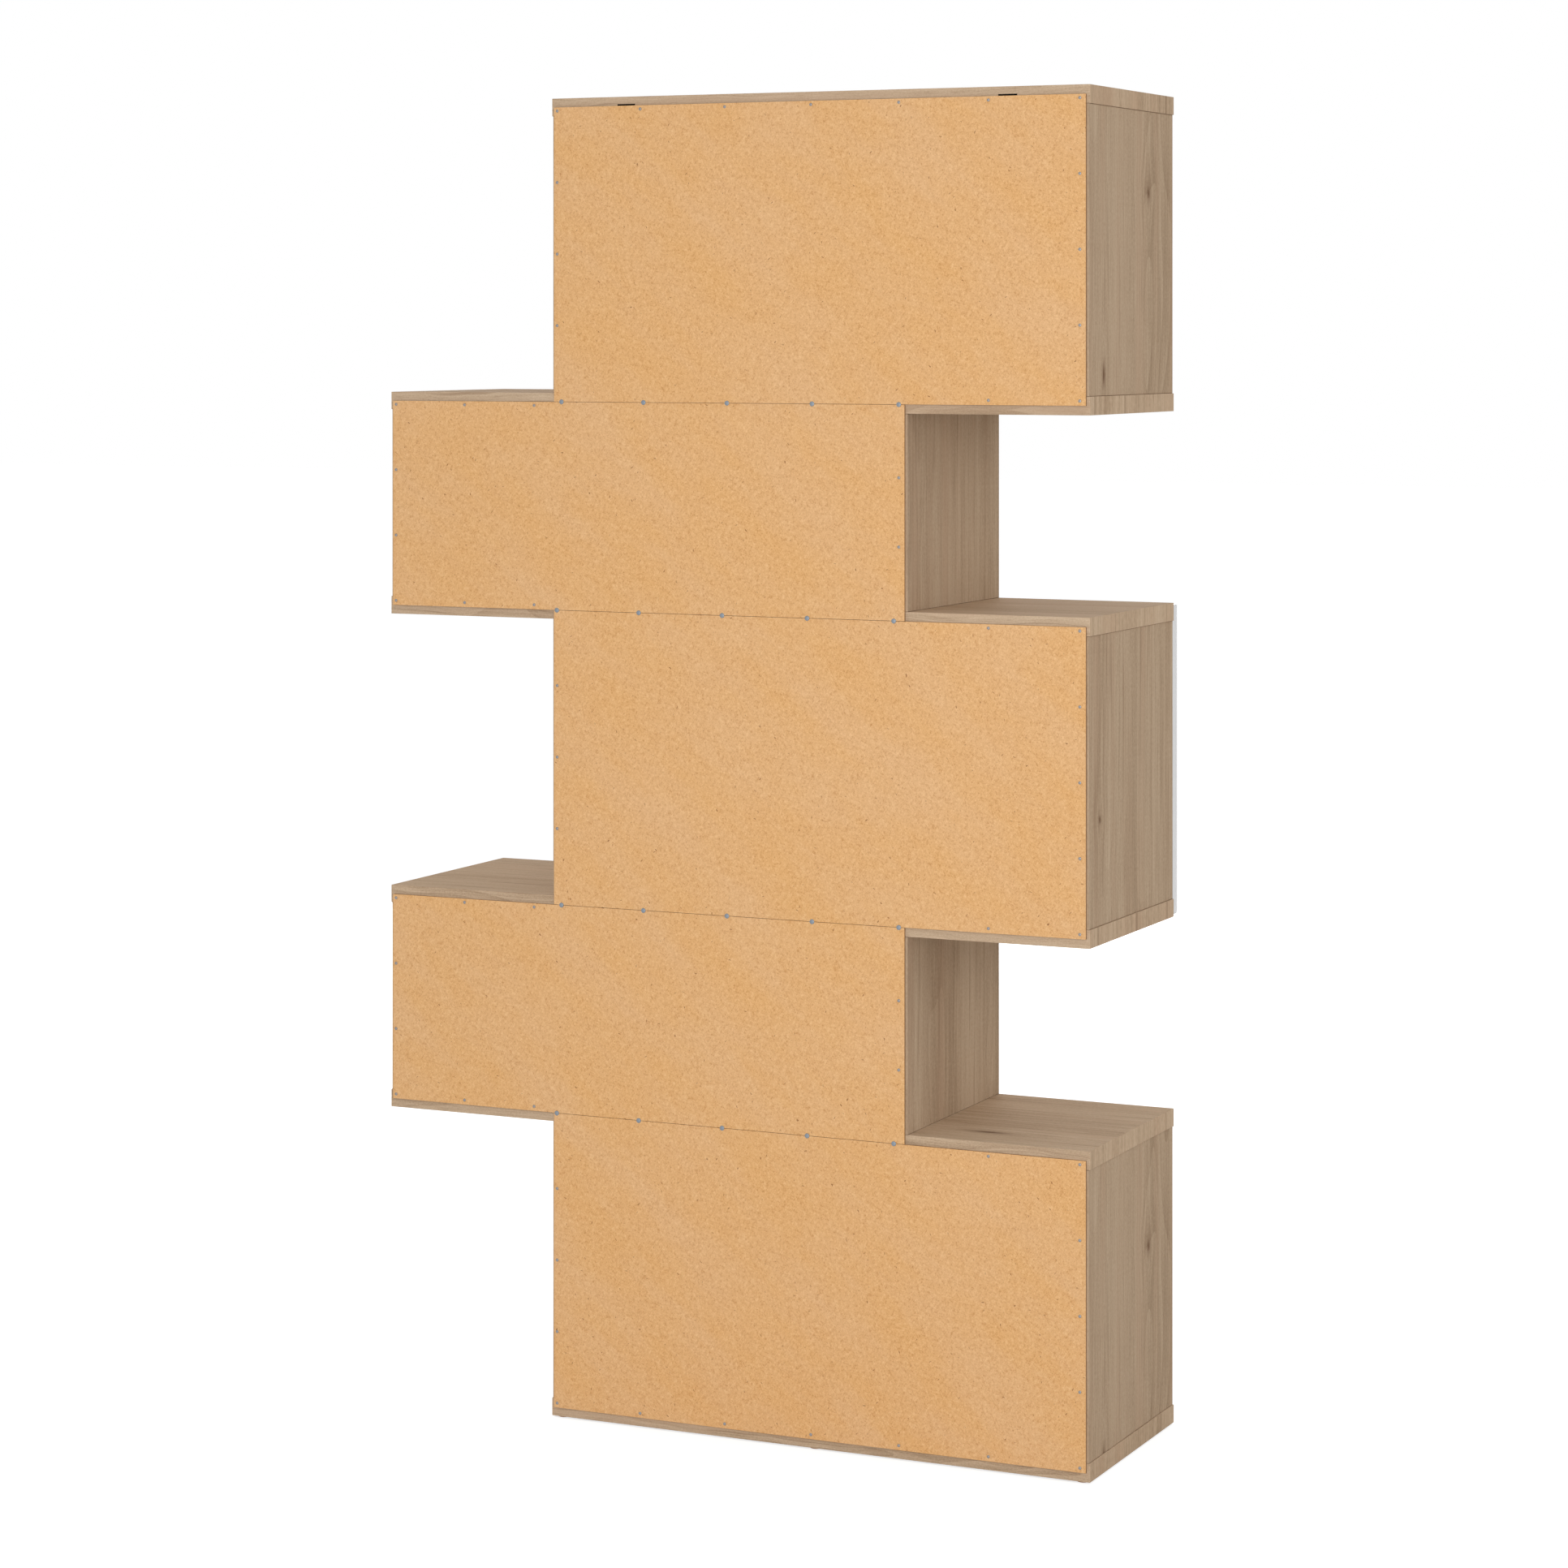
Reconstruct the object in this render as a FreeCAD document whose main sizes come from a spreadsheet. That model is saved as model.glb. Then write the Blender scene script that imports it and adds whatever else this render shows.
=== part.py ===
import FreeCAD, Part
import Sketcher
import os
import re

# Zig-zag bookcase of five stacked boxes, every other one set over to one side, with a pair of doors
# on the middle box. +Z is up, the front faces -Y and left is -X as seen from the front. The origin is
# on the floor, under the middle of the whole outline.

# Driving dimensions in millimetres, kept in the sheet under these names.
SIZES = {
    # Boards and sides of the carcass
    "board_thickness": 22.0,
    "board_depth": 292.0,
    "board_overhang": 1.5,
    "box_width": 706.0,
    "stagger": 229.5,
    "tall_clear": 342.0,
    "short_clear": 235.5,
    "side_thickness": 16.0,
    # Fibreboard backs, their nails and the screws along their seams
    "back_thickness": 3.0,
    "back_inset": 2.75,
    "back_seam": 0.4,
    "nail_left_inset": 7.2,
    "nail_right_inset": 4.6,
    "nail_lower_inset": 5.6,
    "nail_upper_inset": 4.5,
    "nail_head_radius": 1.9,
    "nail_head_height": 0.8,
    "nail_shank_radius": 0.75,
    "nail_length": 20.0,
    "step_nail_margin": 104.8,
    "ledge_nail_margin": 25.0,
    "seam_head_radius": 3.0,
    "seam_head_height": 0.8,
    "seam_shank_radius": 1.3,
    "seam_screw_length": 24.0,
    "seam_screw_start": 10.0,
    "seam_screw_finish": 13.3,
    "seam_screw_shift": 6.5,
    # Cam locks, their bolts and the dowels that join sides to boards
    "cam_radius": 7.5,
    "cam_depth": 12.5,
    "cam_setback": 24.0,
    "cam_inset": 50.0,
    "bolt_radius": 2.9,
    "bolt_thread": 11.0,
    "dowel_radius": 4.0,
    "dowel_length": 32.0,
    "dowel_in_board": 12.0,
    "bore_clearance": 0.2,
    # Wall anchor tongues in the rear edge of the top panel
    "anchor_width": 24.0,
    "anchor_thickness": 2.0,
    "anchor_depth": 40.0,
    "anchor_inset": 103.0,
    # Nail-on glides under the bottom panel
    "glide_radius": 8.0,
    "glide_height": 1.8,
    "glide_pin_radius": 1.2,
    "glide_pin_length": 12.0,
    "glide_end_inset": 12.0,
    "glide_rear_inset": 10.0,
    "glide_front_inset": 34.0,
    # Doors of the middle box
    "door_thickness": 16.0,
    "door_gap": 1.8,
    "door_side_reveal": 2.0,
    "door_top_reveal": 3.0,
    "door_bottom_reveal": 2.0,
    "door_centre_gap": 3.0,
    "door_bevel": 0.8,
    "bumper_radius": 4.0,
    "bumper_height": 1.4,
    "bumper_side_inset": 15.0,
    "bumper_end_inset": 9.0,
    # Concealed hinges: cup in the door, arm and plate on the side, link between the two pivots
    "hinge_inset": 92.0,
    "cup_radius": 17.4,
    "cup_edge_distance": 22.5,
    "cup_depth": 11.5,
    "cup_wall": 1.0,
    "wing_radius": 8.0,
    "wing_reach": 24.0,
    "wing_offset": 3.5,
    "wing_thickness": 1.0,
    "cup_notch_depth": 2.0,
    "cup_pivot_distance": 10.0,
    "cup_pivot_depth": 1.2,
    "link_length": 23.0,
    "link_half_width": 5.0,
    "link_eye_radius": 1.8,
    "pin_radius": 0.9,
    "pin_clearance": 0.05,
    "cheek_thickness": 1.6,
    "cheek_clearance": 0.4,
    "knuckle_radius": 2.6,
    "arm_length": 48.0,
    "arm_setback": 10.0,
    "arm_height": 7.0,
    "arm_wall": 1.4,
    "arm_screw_head_radius": 3.0,
    "arm_screw_head_height": 1.2,
    "arm_screw_radius": 1.5,
    "arm_screw_front_inset": 14.0,
    "arm_screw_rear_inset": 10.0,
    "plate_thickness": 3.0,
    "plate_length": 44.0,
    "plate_setback": 16.0,
    "plate_wing_width": 16.0,
    "plate_half_span": 22.0,
    "plate_screw_reach": 16.0,
    "wood_screw_head_radius": 3.4,
    "wood_screw_head_height": 0.9,
    "wood_screw_radius": 1.6,
    "wood_screw_length": 11.0,
    # Push latches under the shelf over the doors
    "latch_offset": 24.0,
    "latch_length": 62.0,
    "latch_width": 15.0,
    "latch_height": 14.0,
    "latch_setback": 5.0,
    "latch_ear_reach": 9.0,
    "latch_ear_length": 14.0,
    "latch_ear_thickness": 2.4,
    "plunger_radius": 4.0,
    "plunger_length": 40.0,
    "plunger_tip_length": 4.0,
    "plunger_tip_step": 0.8,
    "plunger_travel": 3.0,
    "plunger_bore_clearance": 0.3,
    "plunger_door_clearance": 0.4,
    # Every cut runs this far past the face that it opens
    "cut_overrun": 1.0,
}

# Flats on small round pieces that repeat, most of them hidden in the wood
CAM_FLAT_COUNT = 6
DOWEL_FLAT_COUNT = 5
BOLT_FLAT_COUNT = 4
HEAD_FLAT_COUNT = 5
SHANK_FLAT_COUNT = 3
FOOT_FLAT_COUNT = 8
PIN_HOLE_FLAT_COUNT = 8
EYE_FLAT_COUNT = 12
PLUNGER_FLAT_COUNT = 12
CUP_FLAT_COUNT = 16
# Fasteners in each row, column and seam of the backs
ROW_NAIL_COUNT = 7
TALL_COLUMN_NAIL_COUNT = 5
SHORT_COLUMN_NAIL_COUNT = 4
LEDGE_NAIL_COUNT = 2
SEAM_SCREW_COUNT = 5

UPRIGHT = FreeCAD.Rotation()
TO_REAR = FreeCAD.Rotation(FreeCAD.Vector(1, 0, 0), -90)
TO_RIGHT = FreeCAD.Rotation(FreeCAD.Vector(0, 1, 0), 90)
HALF_TURN_ABOUT_X = FreeCAD.Rotation(FreeCAD.Vector(1, 0, 0), 180)
HALF_TURN_ABOUT_Z = FreeCAD.Rotation(FreeCAD.Vector(0, 0, 1), 180)

doc = FreeCAD.newDocument("zigzag_bookcase")
sheet = doc.addObject("Spreadsheet::Sheet", "Sizes")
for row, (alias, number) in enumerate(SIZES.items(), start=1):
    sheet.set(f"A{row}", alias)
    sheet.set(f"B{row}", str(number))
    sheet.setAlias(f"B{row}", alias)
doc.recompute()

WORD = re.compile("[a-z_]+")
nodes = []


def bound(expression):
    """The expression with every size name pointed at its cell in the sheet."""
    def pointed(match):
        word = match.group()
        return f"Sizes.{word}" if word in SIZES else word

    return WORD.sub(pointed, expression)


def value(expression):
    """The expression's number, for shapes that are placed in code."""
    return float(sheet.evalExpression(bound(expression)))


def add(kind, label, **sizes):
    """A new document object with its size properties bound to expressions."""
    item = doc.addObject(kind, label)
    for name, expression in sizes.items():
        item.setExpression(name, bound(expression))
    return item


def put(item, place, turn=UPRIGHT):
    """Turn an object, and bind its place to three expressions."""
    item.Placement = FreeCAD.Placement(FreeCAD.Vector(), turn)
    for axis, expression in zip("xyz", place):
        item.setExpression(f"Placement.Base.{axis}", bound(expression))
    return item


def block(label, corner, extent):
    """A box from its lowest corner and its extents along X, Y and Z."""
    item = add("Part::Box", label, Length=extent[0], Width=extent[1], Height=extent[2])
    return put(item, corner)


def rod(label, foot, radius, length, turn=UPRIGHT, flats=0):
    """A round rod from the middle of its foot, or one with a few flats where a count is given."""
    if flats:
        item = add("Part::Prism", label, Circumradius=radius, Height=length)
        item.Polygon = flats
    else:
        item = add("Part::Cylinder", label, Radius=radius, Height=length)
    return put(item, foot, turn)


def fuse(label, pieces):
    """One solid from pieces that touch or overlap."""
    item = doc.addObject("Part::MultiFuse", label)
    item.Shapes = pieces
    item.Refine = True
    return item


def cut(label, base, tools):
    """A solid with tools taken out of it."""
    item = doc.addObject("Part::Cut", label)
    item.Base = base
    item.Tool = tools[0] if len(tools) == 1 else fuse(f"{label}_tools", tools)
    return item


def gather(label, pieces):
    """A group of separate solids that share one node."""
    item = doc.addObject("Part::Compound", label)
    item.Links = pieces
    return item


def copies(label, master, placements):
    """A group of copies of one master piece."""
    doc.recompute()
    item = doc.addObject("Part::Feature", label)
    shapes = []
    for placement in placements:
        shape = master.Shape.copy()
        shape.Placement = placement.multiply(shape.Placement)
        shapes.append(shape)
    item.Shape = Part.makeCompound(shapes)
    return item


def node(item, label):
    """Give a finished piece the name of its file."""
    item.Label = label
    nodes.append(item)
    return item


def mirrored(item, label):
    """The right-hand twin of a piece of the left door, across the middle of the doors."""
    twin = doc.addObject("Part::Mirroring", label)
    twin.Source = item
    twin.Normal = FreeCAD.Vector(1, 0, 0)
    twin.setExpression("Base.x", bound(DOORS_MIDDLE))
    return twin


def hand_pair(item, name):
    """A node for the left door and its twin for the right one."""
    node(item, f"left_{name}")
    node(mirrored(item, f"right_{name}"), f"right_{name}")


# Main planes, as expressions
FULL_WIDTH = "(box_width + stagger + 2 * board_overhang)"
LEFT_END = f"(-{FULL_WIDTH} / 2)"
TALL_X = f"({LEFT_END} + board_overhang)"
SHORT_X = f"({TALL_X} + stagger)"
FRONT = "((door_thickness + door_gap - board_depth - back_thickness - nail_head_height) / 2)"
REAR = f"({FRONT} + board_depth)"
BACK_FACE = f"({REAR} + back_thickness)"
DOORS_MIDDLE = f"({TALL_X} + box_width / 2)"

# Tiers from the floor up: the left outer face of the box and its clear height
TIERS = [
    (TALL_X, "tall_clear"),
    (SHORT_X, "short_clear"),
    (TALL_X, "tall_clear"),
    (SHORT_X, "short_clear"),
    (TALL_X, "tall_clear"),
]
# The doors close the middle tier
DOOR_TIER = len(TIERS) // 2

# Undersides of the six boards, from the bottom panel to the top panel
undersides = ["glide_height"]
for _, clear in TIERS:
    undersides.append(f"({undersides[-1]} + board_thickness + {clear})")


def tier_floor(tier):
    """Height of the upper face of the board that a tier stands on."""
    return f"({undersides[tier]} + board_thickness)"


def board_middle(board):
    """Height of the middle of a board's edge, where two backs meet."""
    return f"({undersides[board]} + board_thickness / 2)"


# Where each end of each side panel meets a board: one dowel between two cam locks
CAM_DEPTHS = [f"({FRONT} + cam_inset)", f"({REAR} - cam_inset)"]
DOWEL_DEPTH = f"({FRONT} + board_depth / 2)"


def side_faces(tier, hand):
    """Outer lower corner and inner face of a side panel, along X."""
    box_left = TIERS[tier][0]
    if hand == "left":
        return box_left, f"({box_left} + side_thickness)"
    corner = f"({box_left} + box_width - side_thickness)"
    return corner, corner


def side_tools(tier, hand):
    """Cam pockets, bolt bores and dowel bores in one side panel."""
    corner, inner = side_faces(tier, hand)
    middle = f"({corner} + side_thickness / 2)"
    pocket_foot = f"({inner} - cam_depth)" if hand == "left" else f"({inner} - cut_overrun)"
    tools = []
    for end, is_top in ((tier_floor(tier), False), (undersides[tier + 1], True)):
        cam_height = f"({end} - cam_setback)" if is_top else f"({end} + cam_setback)"
        bolt_foot = cam_height if is_top else f"({end} - cut_overrun)"
        dowel_depth = "(dowel_length - dowel_in_board + bore_clearance)"
        dowel_foot = f"({end} - {dowel_depth})" if is_top else f"({end} - cut_overrun)"
        for depth in CAM_DEPTHS:
            tools.append(rod("cam_pocket", (pocket_foot, depth, cam_height), "cam_radius",
                             "cam_depth + cut_overrun", TO_RIGHT, CAM_FLAT_COUNT))
            tools.append(rod("bolt_bore", (middle, depth, bolt_foot), "bolt_radius + bore_clearance",
                             "cam_setback + cut_overrun", flats=BOLT_FLAT_COUNT))
        tools.append(rod("dowel_bore", (middle, DOWEL_DEPTH, dowel_foot), "dowel_radius + bore_clearance",
                         f"{dowel_depth} + cut_overrun", flats=DOWEL_FLAT_COUNT))
    return tools


def board_tools(board):
    """Bolt and dowel holes in one board, for the sides that stand on it and hang under it."""
    tools = []
    seats = []
    if board < len(TIERS):
        seats.append((board, f"({undersides[board]} + board_thickness)", True))
    if board > 0:
        seats.append((board - 1, undersides[board], False))
    for tier, face, opens_up in seats:
        for hand in ("left", "right"):
            middle = f"({side_faces(tier, hand)[0]} + side_thickness / 2)"
            holes = [(depth, "bolt_radius + bore_clearance", "(bolt_thread + bore_clearance)",
                      BOLT_FLAT_COUNT) for depth in CAM_DEPTHS]
            holes.append((DOWEL_DEPTH, "dowel_radius + bore_clearance", "(dowel_in_board + bore_clearance)",
                          DOWEL_FLAT_COUNT))
            for depth, radius, length, flats in holes:
                foot = f"{face} - {length}" if opens_up else f"{face} - cut_overrun"
                tools.append(rod("board_hole", (middle, depth, foot), radius, f"{length} + cut_overrun",
                                 flats=flats))
    return tools


# Wall anchor tongues lie in slots just above the top back
ANCHOR_PLACES = [f"({LEFT_END} + anchor_inset)", f"({TALL_X} + box_width + board_overhang - anchor_inset)"]
ANCHOR_FLOOR = board_middle(len(TIERS))


def anchor_block(label, place, clearance):
    """A tongue in the rear edge of the top panel, or with a clearance the slot that takes it."""
    corner = (f"{place} - anchor_width / 2 - {clearance}", f"{REAR} - anchor_depth - {clearance}",
              f"{ANCHOR_FLOOR} - {clearance}")
    reach = "anchor_depth" if clearance == "0" else f"anchor_depth + {clearance} + cut_overrun"
    extent = (f"anchor_width + 2 * {clearance}", reach, f"anchor_thickness + 2 * {clearance}")
    return block(label, corner, extent)


# Pin holes for the glides
GLIDE_X = [f"({LEFT_END} + glide_end_inset)", DOORS_MIDDLE,
           f"({TALL_X} + box_width + board_overhang - glide_end_inset)"]
GLIDE_Y = [f"({FRONT} + glide_front_inset)", f"({REAR} - glide_rear_inset)"]
GLIDE_PLACES = [(x, y) for x in GLIDE_X for y in GLIDE_Y]


def glide_holes():
    """Blind holes in the underside of the bottom panel."""
    return [rod("glide_hole", (x, y, "glide_height - cut_overrun"), "glide_pin_radius + bore_clearance",
                "glide_pin_length + bore_clearance + cut_overrun", flats=BOLT_FLAT_COUNT)
            for x, y in GLIDE_PLACES]


# Boards
BOARD_LABELS = ["bottom_panel", "shelf_1", "shelf_2", "shelf_3", "shelf_4", "top_panel"]
for board, label in enumerate(BOARD_LABELS):
    is_shelf = label.startswith("shelf")
    width = FULL_WIDTH if is_shelf else "box_width + 2 * board_overhang"
    blank = block(f"{label}_blank", (LEFT_END, FRONT, undersides[board]),
                  (width, "board_depth", "board_thickness"))
    tools = board_tools(board)
    if label == "bottom_panel":
        tools += glide_holes()
    if label == "top_panel":
        tools += [anchor_block("anchor_slot", place, "bore_clearance") for place in ANCHOR_PLACES]
    node(cut(f"{label}_cut", blank, tools), label)

# Side panels
for tier, (_, clear) in enumerate(TIERS):
    for hand in ("left", "right"):
        label = f"tier_{tier + 1}_{hand}_side"
        blank = block(f"{label}_blank", (side_faces(tier, hand)[0], FRONT, tier_floor(tier)),
                      ("side_thickness", "board_depth", clear))
        node(cut(f"{label}_cut", blank, side_tools(tier, hand)), label)

# Fibreboard backs, surface mounted
for tier, (box_left, clear) in enumerate(TIERS):
    corner = (f"{box_left} + back_inset", REAR, f"{board_middle(tier)} + back_seam / 2")
    extent = ("box_width - 2 * back_inset", "back_thickness", f"board_thickness + {clear} - back_seam")
    node(block(f"back_{tier + 1}", corner, extent), f"backboard_{tier + 1}")


def headed_pin(label, head_radius, head_height, shank_radius, length):
    """A nail or screw whose head seats at the origin and whose shank points to the front."""
    head = rod(f"{label}_head", ("0", "0", "0"), head_radius, head_height, TO_REAR, HEAD_FLAT_COUNT)
    shank = rod(f"{label}_shank", ("0", f"-{length}", "0"), shank_radius, length, TO_REAR, SHANK_FLAT_COUNT)
    return fuse(label, [head, shank])


def spread(first, last, count):
    """Evenly spaced numbers from first to last."""
    return [first + (last - first) * step / (count - 1) for step in range(count)]


def nail_spots(tier):
    """Places of the nails round one back, as X and Z. Where two backs meet, screws hold them instead."""
    box_left, clear = TIERS[tier]
    is_tall = clear == "tall_clear"
    left = value(f"{box_left} + back_inset + nail_left_inset")
    right = value(f"{box_left} + box_width - back_inset - nail_right_inset")
    low = value(f"{board_middle(tier)} + back_seam / 2 + nail_lower_inset")
    high = value(f"{board_middle(tier + 1)} - back_seam / 2 - nail_upper_inset")
    heights = spread(low, high, TALL_COLUMN_NAIL_COUNT if is_tall else SHORT_COLUMN_NAIL_COUNT)
    free_column, covered_column = (left, right) if is_tall else (right, left)
    spots = [(free_column, height) for height in heights]
    spots += [(covered_column, height) for height in heights[1:-1]]
    for height, is_outer in ((low, tier == 0), (high, tier == len(TIERS) - 1)):
        if is_outer:
            row = spread(left, right, ROW_NAIL_COUNT)
            spots += [(place, height) for place in row if place != free_column]
        elif is_tall:
            spots.append((value(f"{box_left} + stagger - step_nail_margin"), height))
        else:
            ledge_end = value(f"{box_left} + box_width - stagger + ledge_nail_margin")
            spots += [(place, height) for place in spread(right, ledge_end, LEDGE_NAIL_COUNT + 1)[1:]]
    return spots


def rear_placements(spots):
    """Placements on the rear face of the backs."""
    face = value(BACK_FACE)
    return [FreeCAD.Placement(FreeCAD.Vector(x, face, z), UPRIGHT) for x, z in spots]


# Nails and seam screws
nail = headed_pin("nail", "nail_head_radius", "nail_head_height", "nail_shank_radius", "nail_length")
for tier in range(len(TIERS)):
    label = f"back_nails_{tier + 1}"
    node(copies(label, nail, rear_placements(nail_spots(tier))), label)

seam_screw = headed_pin("seam_screw", "seam_head_radius", "seam_head_height", "seam_shank_radius",
                        "seam_screw_length")
seam_run = value("box_width - stagger - seam_screw_start - seam_screw_finish")
seam_spots = []
for board in range(1, len(TIERS)):
    shift = "seam_screw_shift" if board % 2 else "0"
    start = value(f"{SHORT_X} + seam_screw_start + {shift}")
    seam_places = spread(start, start + seam_run, SEAM_SCREW_COUNT)
    seam_spots += [(place, value(board_middle(board))) for place in seam_places]
node(copies("seam_screw_group", seam_screw, rear_placements(seam_spots)), "seam_screws")

# Cam locks, bolts and dowels. The master cam opens towards a bolt above it, in a left side panel.
cam_blank = rod("cam_blank", ("-cam_depth + bore_clearance", "0", "0"), "cam_radius - bore_clearance",
                "cam_depth - bore_clearance", TO_RIGHT, CAM_FLAT_COUNT)
MOUTH_HALF = "(bolt_radius + bore_clearance)"
cam_mouth = block("cam_mouth", (f"-side_thickness / 2 - {MOUTH_HALF}", f"-{MOUTH_HALF}", "-bolt_radius"),
                  (f"2 * {MOUTH_HALF}", f"2 * {MOUTH_HALF}", "cam_radius + bolt_radius + cut_overrun"))
cam = cut("cam", cam_blank, [cam_mouth])
bolt = rod("bolt", ("0", "0", "-cam_setback"), "bolt_radius", "cam_setback + bolt_thread",
           flats=BOLT_FLAT_COUNT)
dowel = rod("dowel", ("0", "0", "dowel_in_board - dowel_length"), "dowel_radius", "dowel_length",
            flats=DOWEL_FLAT_COUNT)
cam_placements = []
bolt_placements = []
dowel_placements = []
for tier in range(len(TIERS)):
    for hand in ("left", "right"):
        corner, inner = side_faces(tier, hand)
        middle = value(f"{corner} + side_thickness / 2")
        hand_turn = UPRIGHT if hand == "left" else HALF_TURN_ABOUT_Z
        for end, is_top in ((tier_floor(tier), False), (undersides[tier + 1], True)):
            end_turn = UPRIGHT if is_top else HALF_TURN_ABOUT_X
            cam_height = value(f"{end} - cam_setback" if is_top else f"{end} + cam_setback")
            for depth in CAM_DEPTHS:
                cam_place = FreeCAD.Vector(value(inner), value(depth), cam_height)
                cam_placements.append(FreeCAD.Placement(cam_place, hand_turn.multiply(end_turn)))
                bolt_place = FreeCAD.Vector(middle, value(depth), value(end))
                bolt_placements.append(FreeCAD.Placement(bolt_place, end_turn))
            dowel_place = FreeCAD.Vector(middle, value(DOWEL_DEPTH), value(end))
            dowel_placements.append(FreeCAD.Placement(dowel_place, end_turn))
node(copies("cam_group", cam, cam_placements), "cam_locks")
node(copies("bolt_group", bolt, bolt_placements), "cam_bolts")
node(copies("dowel_group", dowel, dowel_placements), "dowels")

# Wall anchors and glides
node(gather("anchor_group", [anchor_block("anchor", place, "0") for place in ANCHOR_PLACES]), "wall_anchors")
glides = []
for x, y in GLIDE_PLACES:
    foot = rod("glide_foot", (x, y, "0"), "glide_radius", "glide_height", flats=FOOT_FLAT_COUNT)
    pin = rod("glide_pin", (x, y, "glide_height"), "glide_pin_radius", "glide_pin_length",
              flats=BOLT_FLAT_COUNT)
    glides.append(fuse("glide", [foot, pin]))
node(gather("glide_group", glides), "floor_glides")

# Doors over the front of the middle box
DOOR_LEFT = f"({LEFT_END} + door_side_reveal)"
DOOR_REAR = f"({FRONT} - door_gap)"
DOOR_FLOOR = f"({undersides[DOOR_TIER]} + door_bottom_reveal)"
DOOR_WIDTH = "(box_width / 2 + board_overhang - door_side_reveal - door_centre_gap / 2)"
DOOR_HEIGHT = "(tall_clear + 2 * board_thickness - door_top_reveal - door_bottom_reveal)"
HINGE_RISES = ["hinge_inset", f"({DOOR_HEIGHT} - hinge_inset)"]
HINGE_HEIGHTS = [f"({DOOR_FLOOR} + {rise})" for rise in HINGE_RISES]
CUP_X = f"({DOOR_LEFT} + cup_edge_distance)"


def origin_plane(body, role):
    """One of a body's own origin planes."""
    return next(plane for plane in body.Origin.OriginFeatures if plane.Role == role)


def sketch_on(body, label, role):
    """An empty sketch on one of a body's origin planes."""
    sketch = body.newObject("Sketcher::SketchObject", label)
    sketch.AttachmentSupport = [(origin_plane(body, role), "")]
    sketch.MapMode = "FlatFace"
    return sketch


def dimension(sketch, name, constraint, expression):
    """Add a named dimension to a sketch and bind it."""
    index = sketch.addConstraint(constraint)
    sketch.renameConstraint(index, name)
    sketch.setExpression(f"Constraints.{name}", bound(expression))


def draw_rectangle(sketch, width, height):
    """A rectangle from the sketch's origin, dimensioned by two expressions."""
    wide, high = value(width), value(height)
    corners = [FreeCAD.Vector(x, y) for x, y in ((0, 0), (wide, 0), (wide, high), (0, high))]
    for index, corner in enumerate(corners):
        sketch.addGeometry(Part.LineSegment(corner, corners[(index + 1) % len(corners)]))
    for index in range(len(corners)):
        following = (index + 1) % len(corners)
        sketch.addConstraint(Sketcher.Constraint("Coincident", index, 2, following, 1))
        sketch.addConstraint(Sketcher.Constraint("Vertical" if index % 2 else "Horizontal", index))
    sketch.addConstraint(Sketcher.Constraint("Coincident", 0, 1, -1, 1))
    dimension(sketch, "width", Sketcher.Constraint("DistanceX", 0, 1, 0, 2, wide), width)
    dimension(sketch, "height", Sketcher.Constraint("DistanceY", 1, 1, 1, 2, high), height)


def draw_circle(sketch, name, across, up, radius):
    """A circle dimensioned from the sketch's origin."""
    middle = FreeCAD.Vector(value(across), value(up))
    index = sketch.addGeometry(Part.Circle(middle, FreeCAD.Vector(0, 0, 1), value(radius)))
    dimension(sketch, f"{name}_across", Sketcher.Constraint("DistanceX", -1, 1, index, 3, middle.x), across)
    dimension(sketch, f"{name}_up", Sketcher.Constraint("DistanceY", -1, 1, index, 3, middle.y), up)
    dimension(sketch, f"{name}_radius", Sketcher.Constraint("Radius", index, value(radius)), radius)


def make_door(label):
    """The left door: a slab with bevelled front edges and two cup bores in its rear face."""
    body = doc.addObject("PartDesign::Body", label)
    outline = sketch_on(body, f"{label}_outline", "XZ_Plane")
    draw_rectangle(outline, DOOR_WIDTH, DOOR_HEIGHT)
    slab = body.newObject("PartDesign::Pad", f"{label}_slab")
    slab.Profile = outline
    slab.setExpression("Length", bound("door_thickness"))
    doc.recompute()
    front = slab.Shape.BoundBox.YMin
    front_edges = [f"Edge{index}" for index, edge in enumerate(slab.Shape.Edges, start=1)
                   if abs(edge.BoundBox.YMax - front) < Part.Precision.confusion()]
    bevel = body.newObject("PartDesign::Chamfer", f"{label}_bevel")
    bevel.Base = (slab, front_edges)
    bevel.setExpression("Size", bound("door_bevel"))
    doc.recompute()
    solid_volume = bevel.Shape.Volume
    bores = sketch_on(body, f"{label}_bores", "XZ_Plane")
    for index, rise in enumerate(HINGE_RISES, start=1):
        draw_circle(bores, f"bore_{index}", "cup_edge_distance", rise, "cup_radius + bore_clearance")
    pocket = body.newObject("PartDesign::Pocket", f"{label}_pocket")
    pocket.Profile = bores
    pocket.Reversed = True
    pocket.setExpression("Length", bound("cup_depth + bore_clearance"))
    doc.recompute()
    if pocket.Shape.Volume >= solid_volume:
        raise RuntimeError("the cup bores cut nothing")
    return put(body, (DOOR_LEFT, DOOR_REAR, DOOR_FLOOR))


hand_pair(make_door("door_body"), "door")

# Bumpers on the rear of the door, against the front edges of the boards
BUMPER_RISES = ["bumper_end_inset", f"({DOOR_HEIGHT} - bumper_end_inset)"]
BUMPER_X = f"({DOOR_LEFT} + {DOOR_WIDTH} - bumper_side_inset)"
bumpers = [rod("bumper", (BUMPER_X, DOOR_REAR, f"{DOOR_FLOOR} + {rise}"), "bumper_radius", "bumper_height",
               TO_REAR, FOOT_FLAT_COUNT) for rise in BUMPER_RISES]
hand_pair(gather("bumper_pair", bumpers), "door_bumpers")

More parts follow.
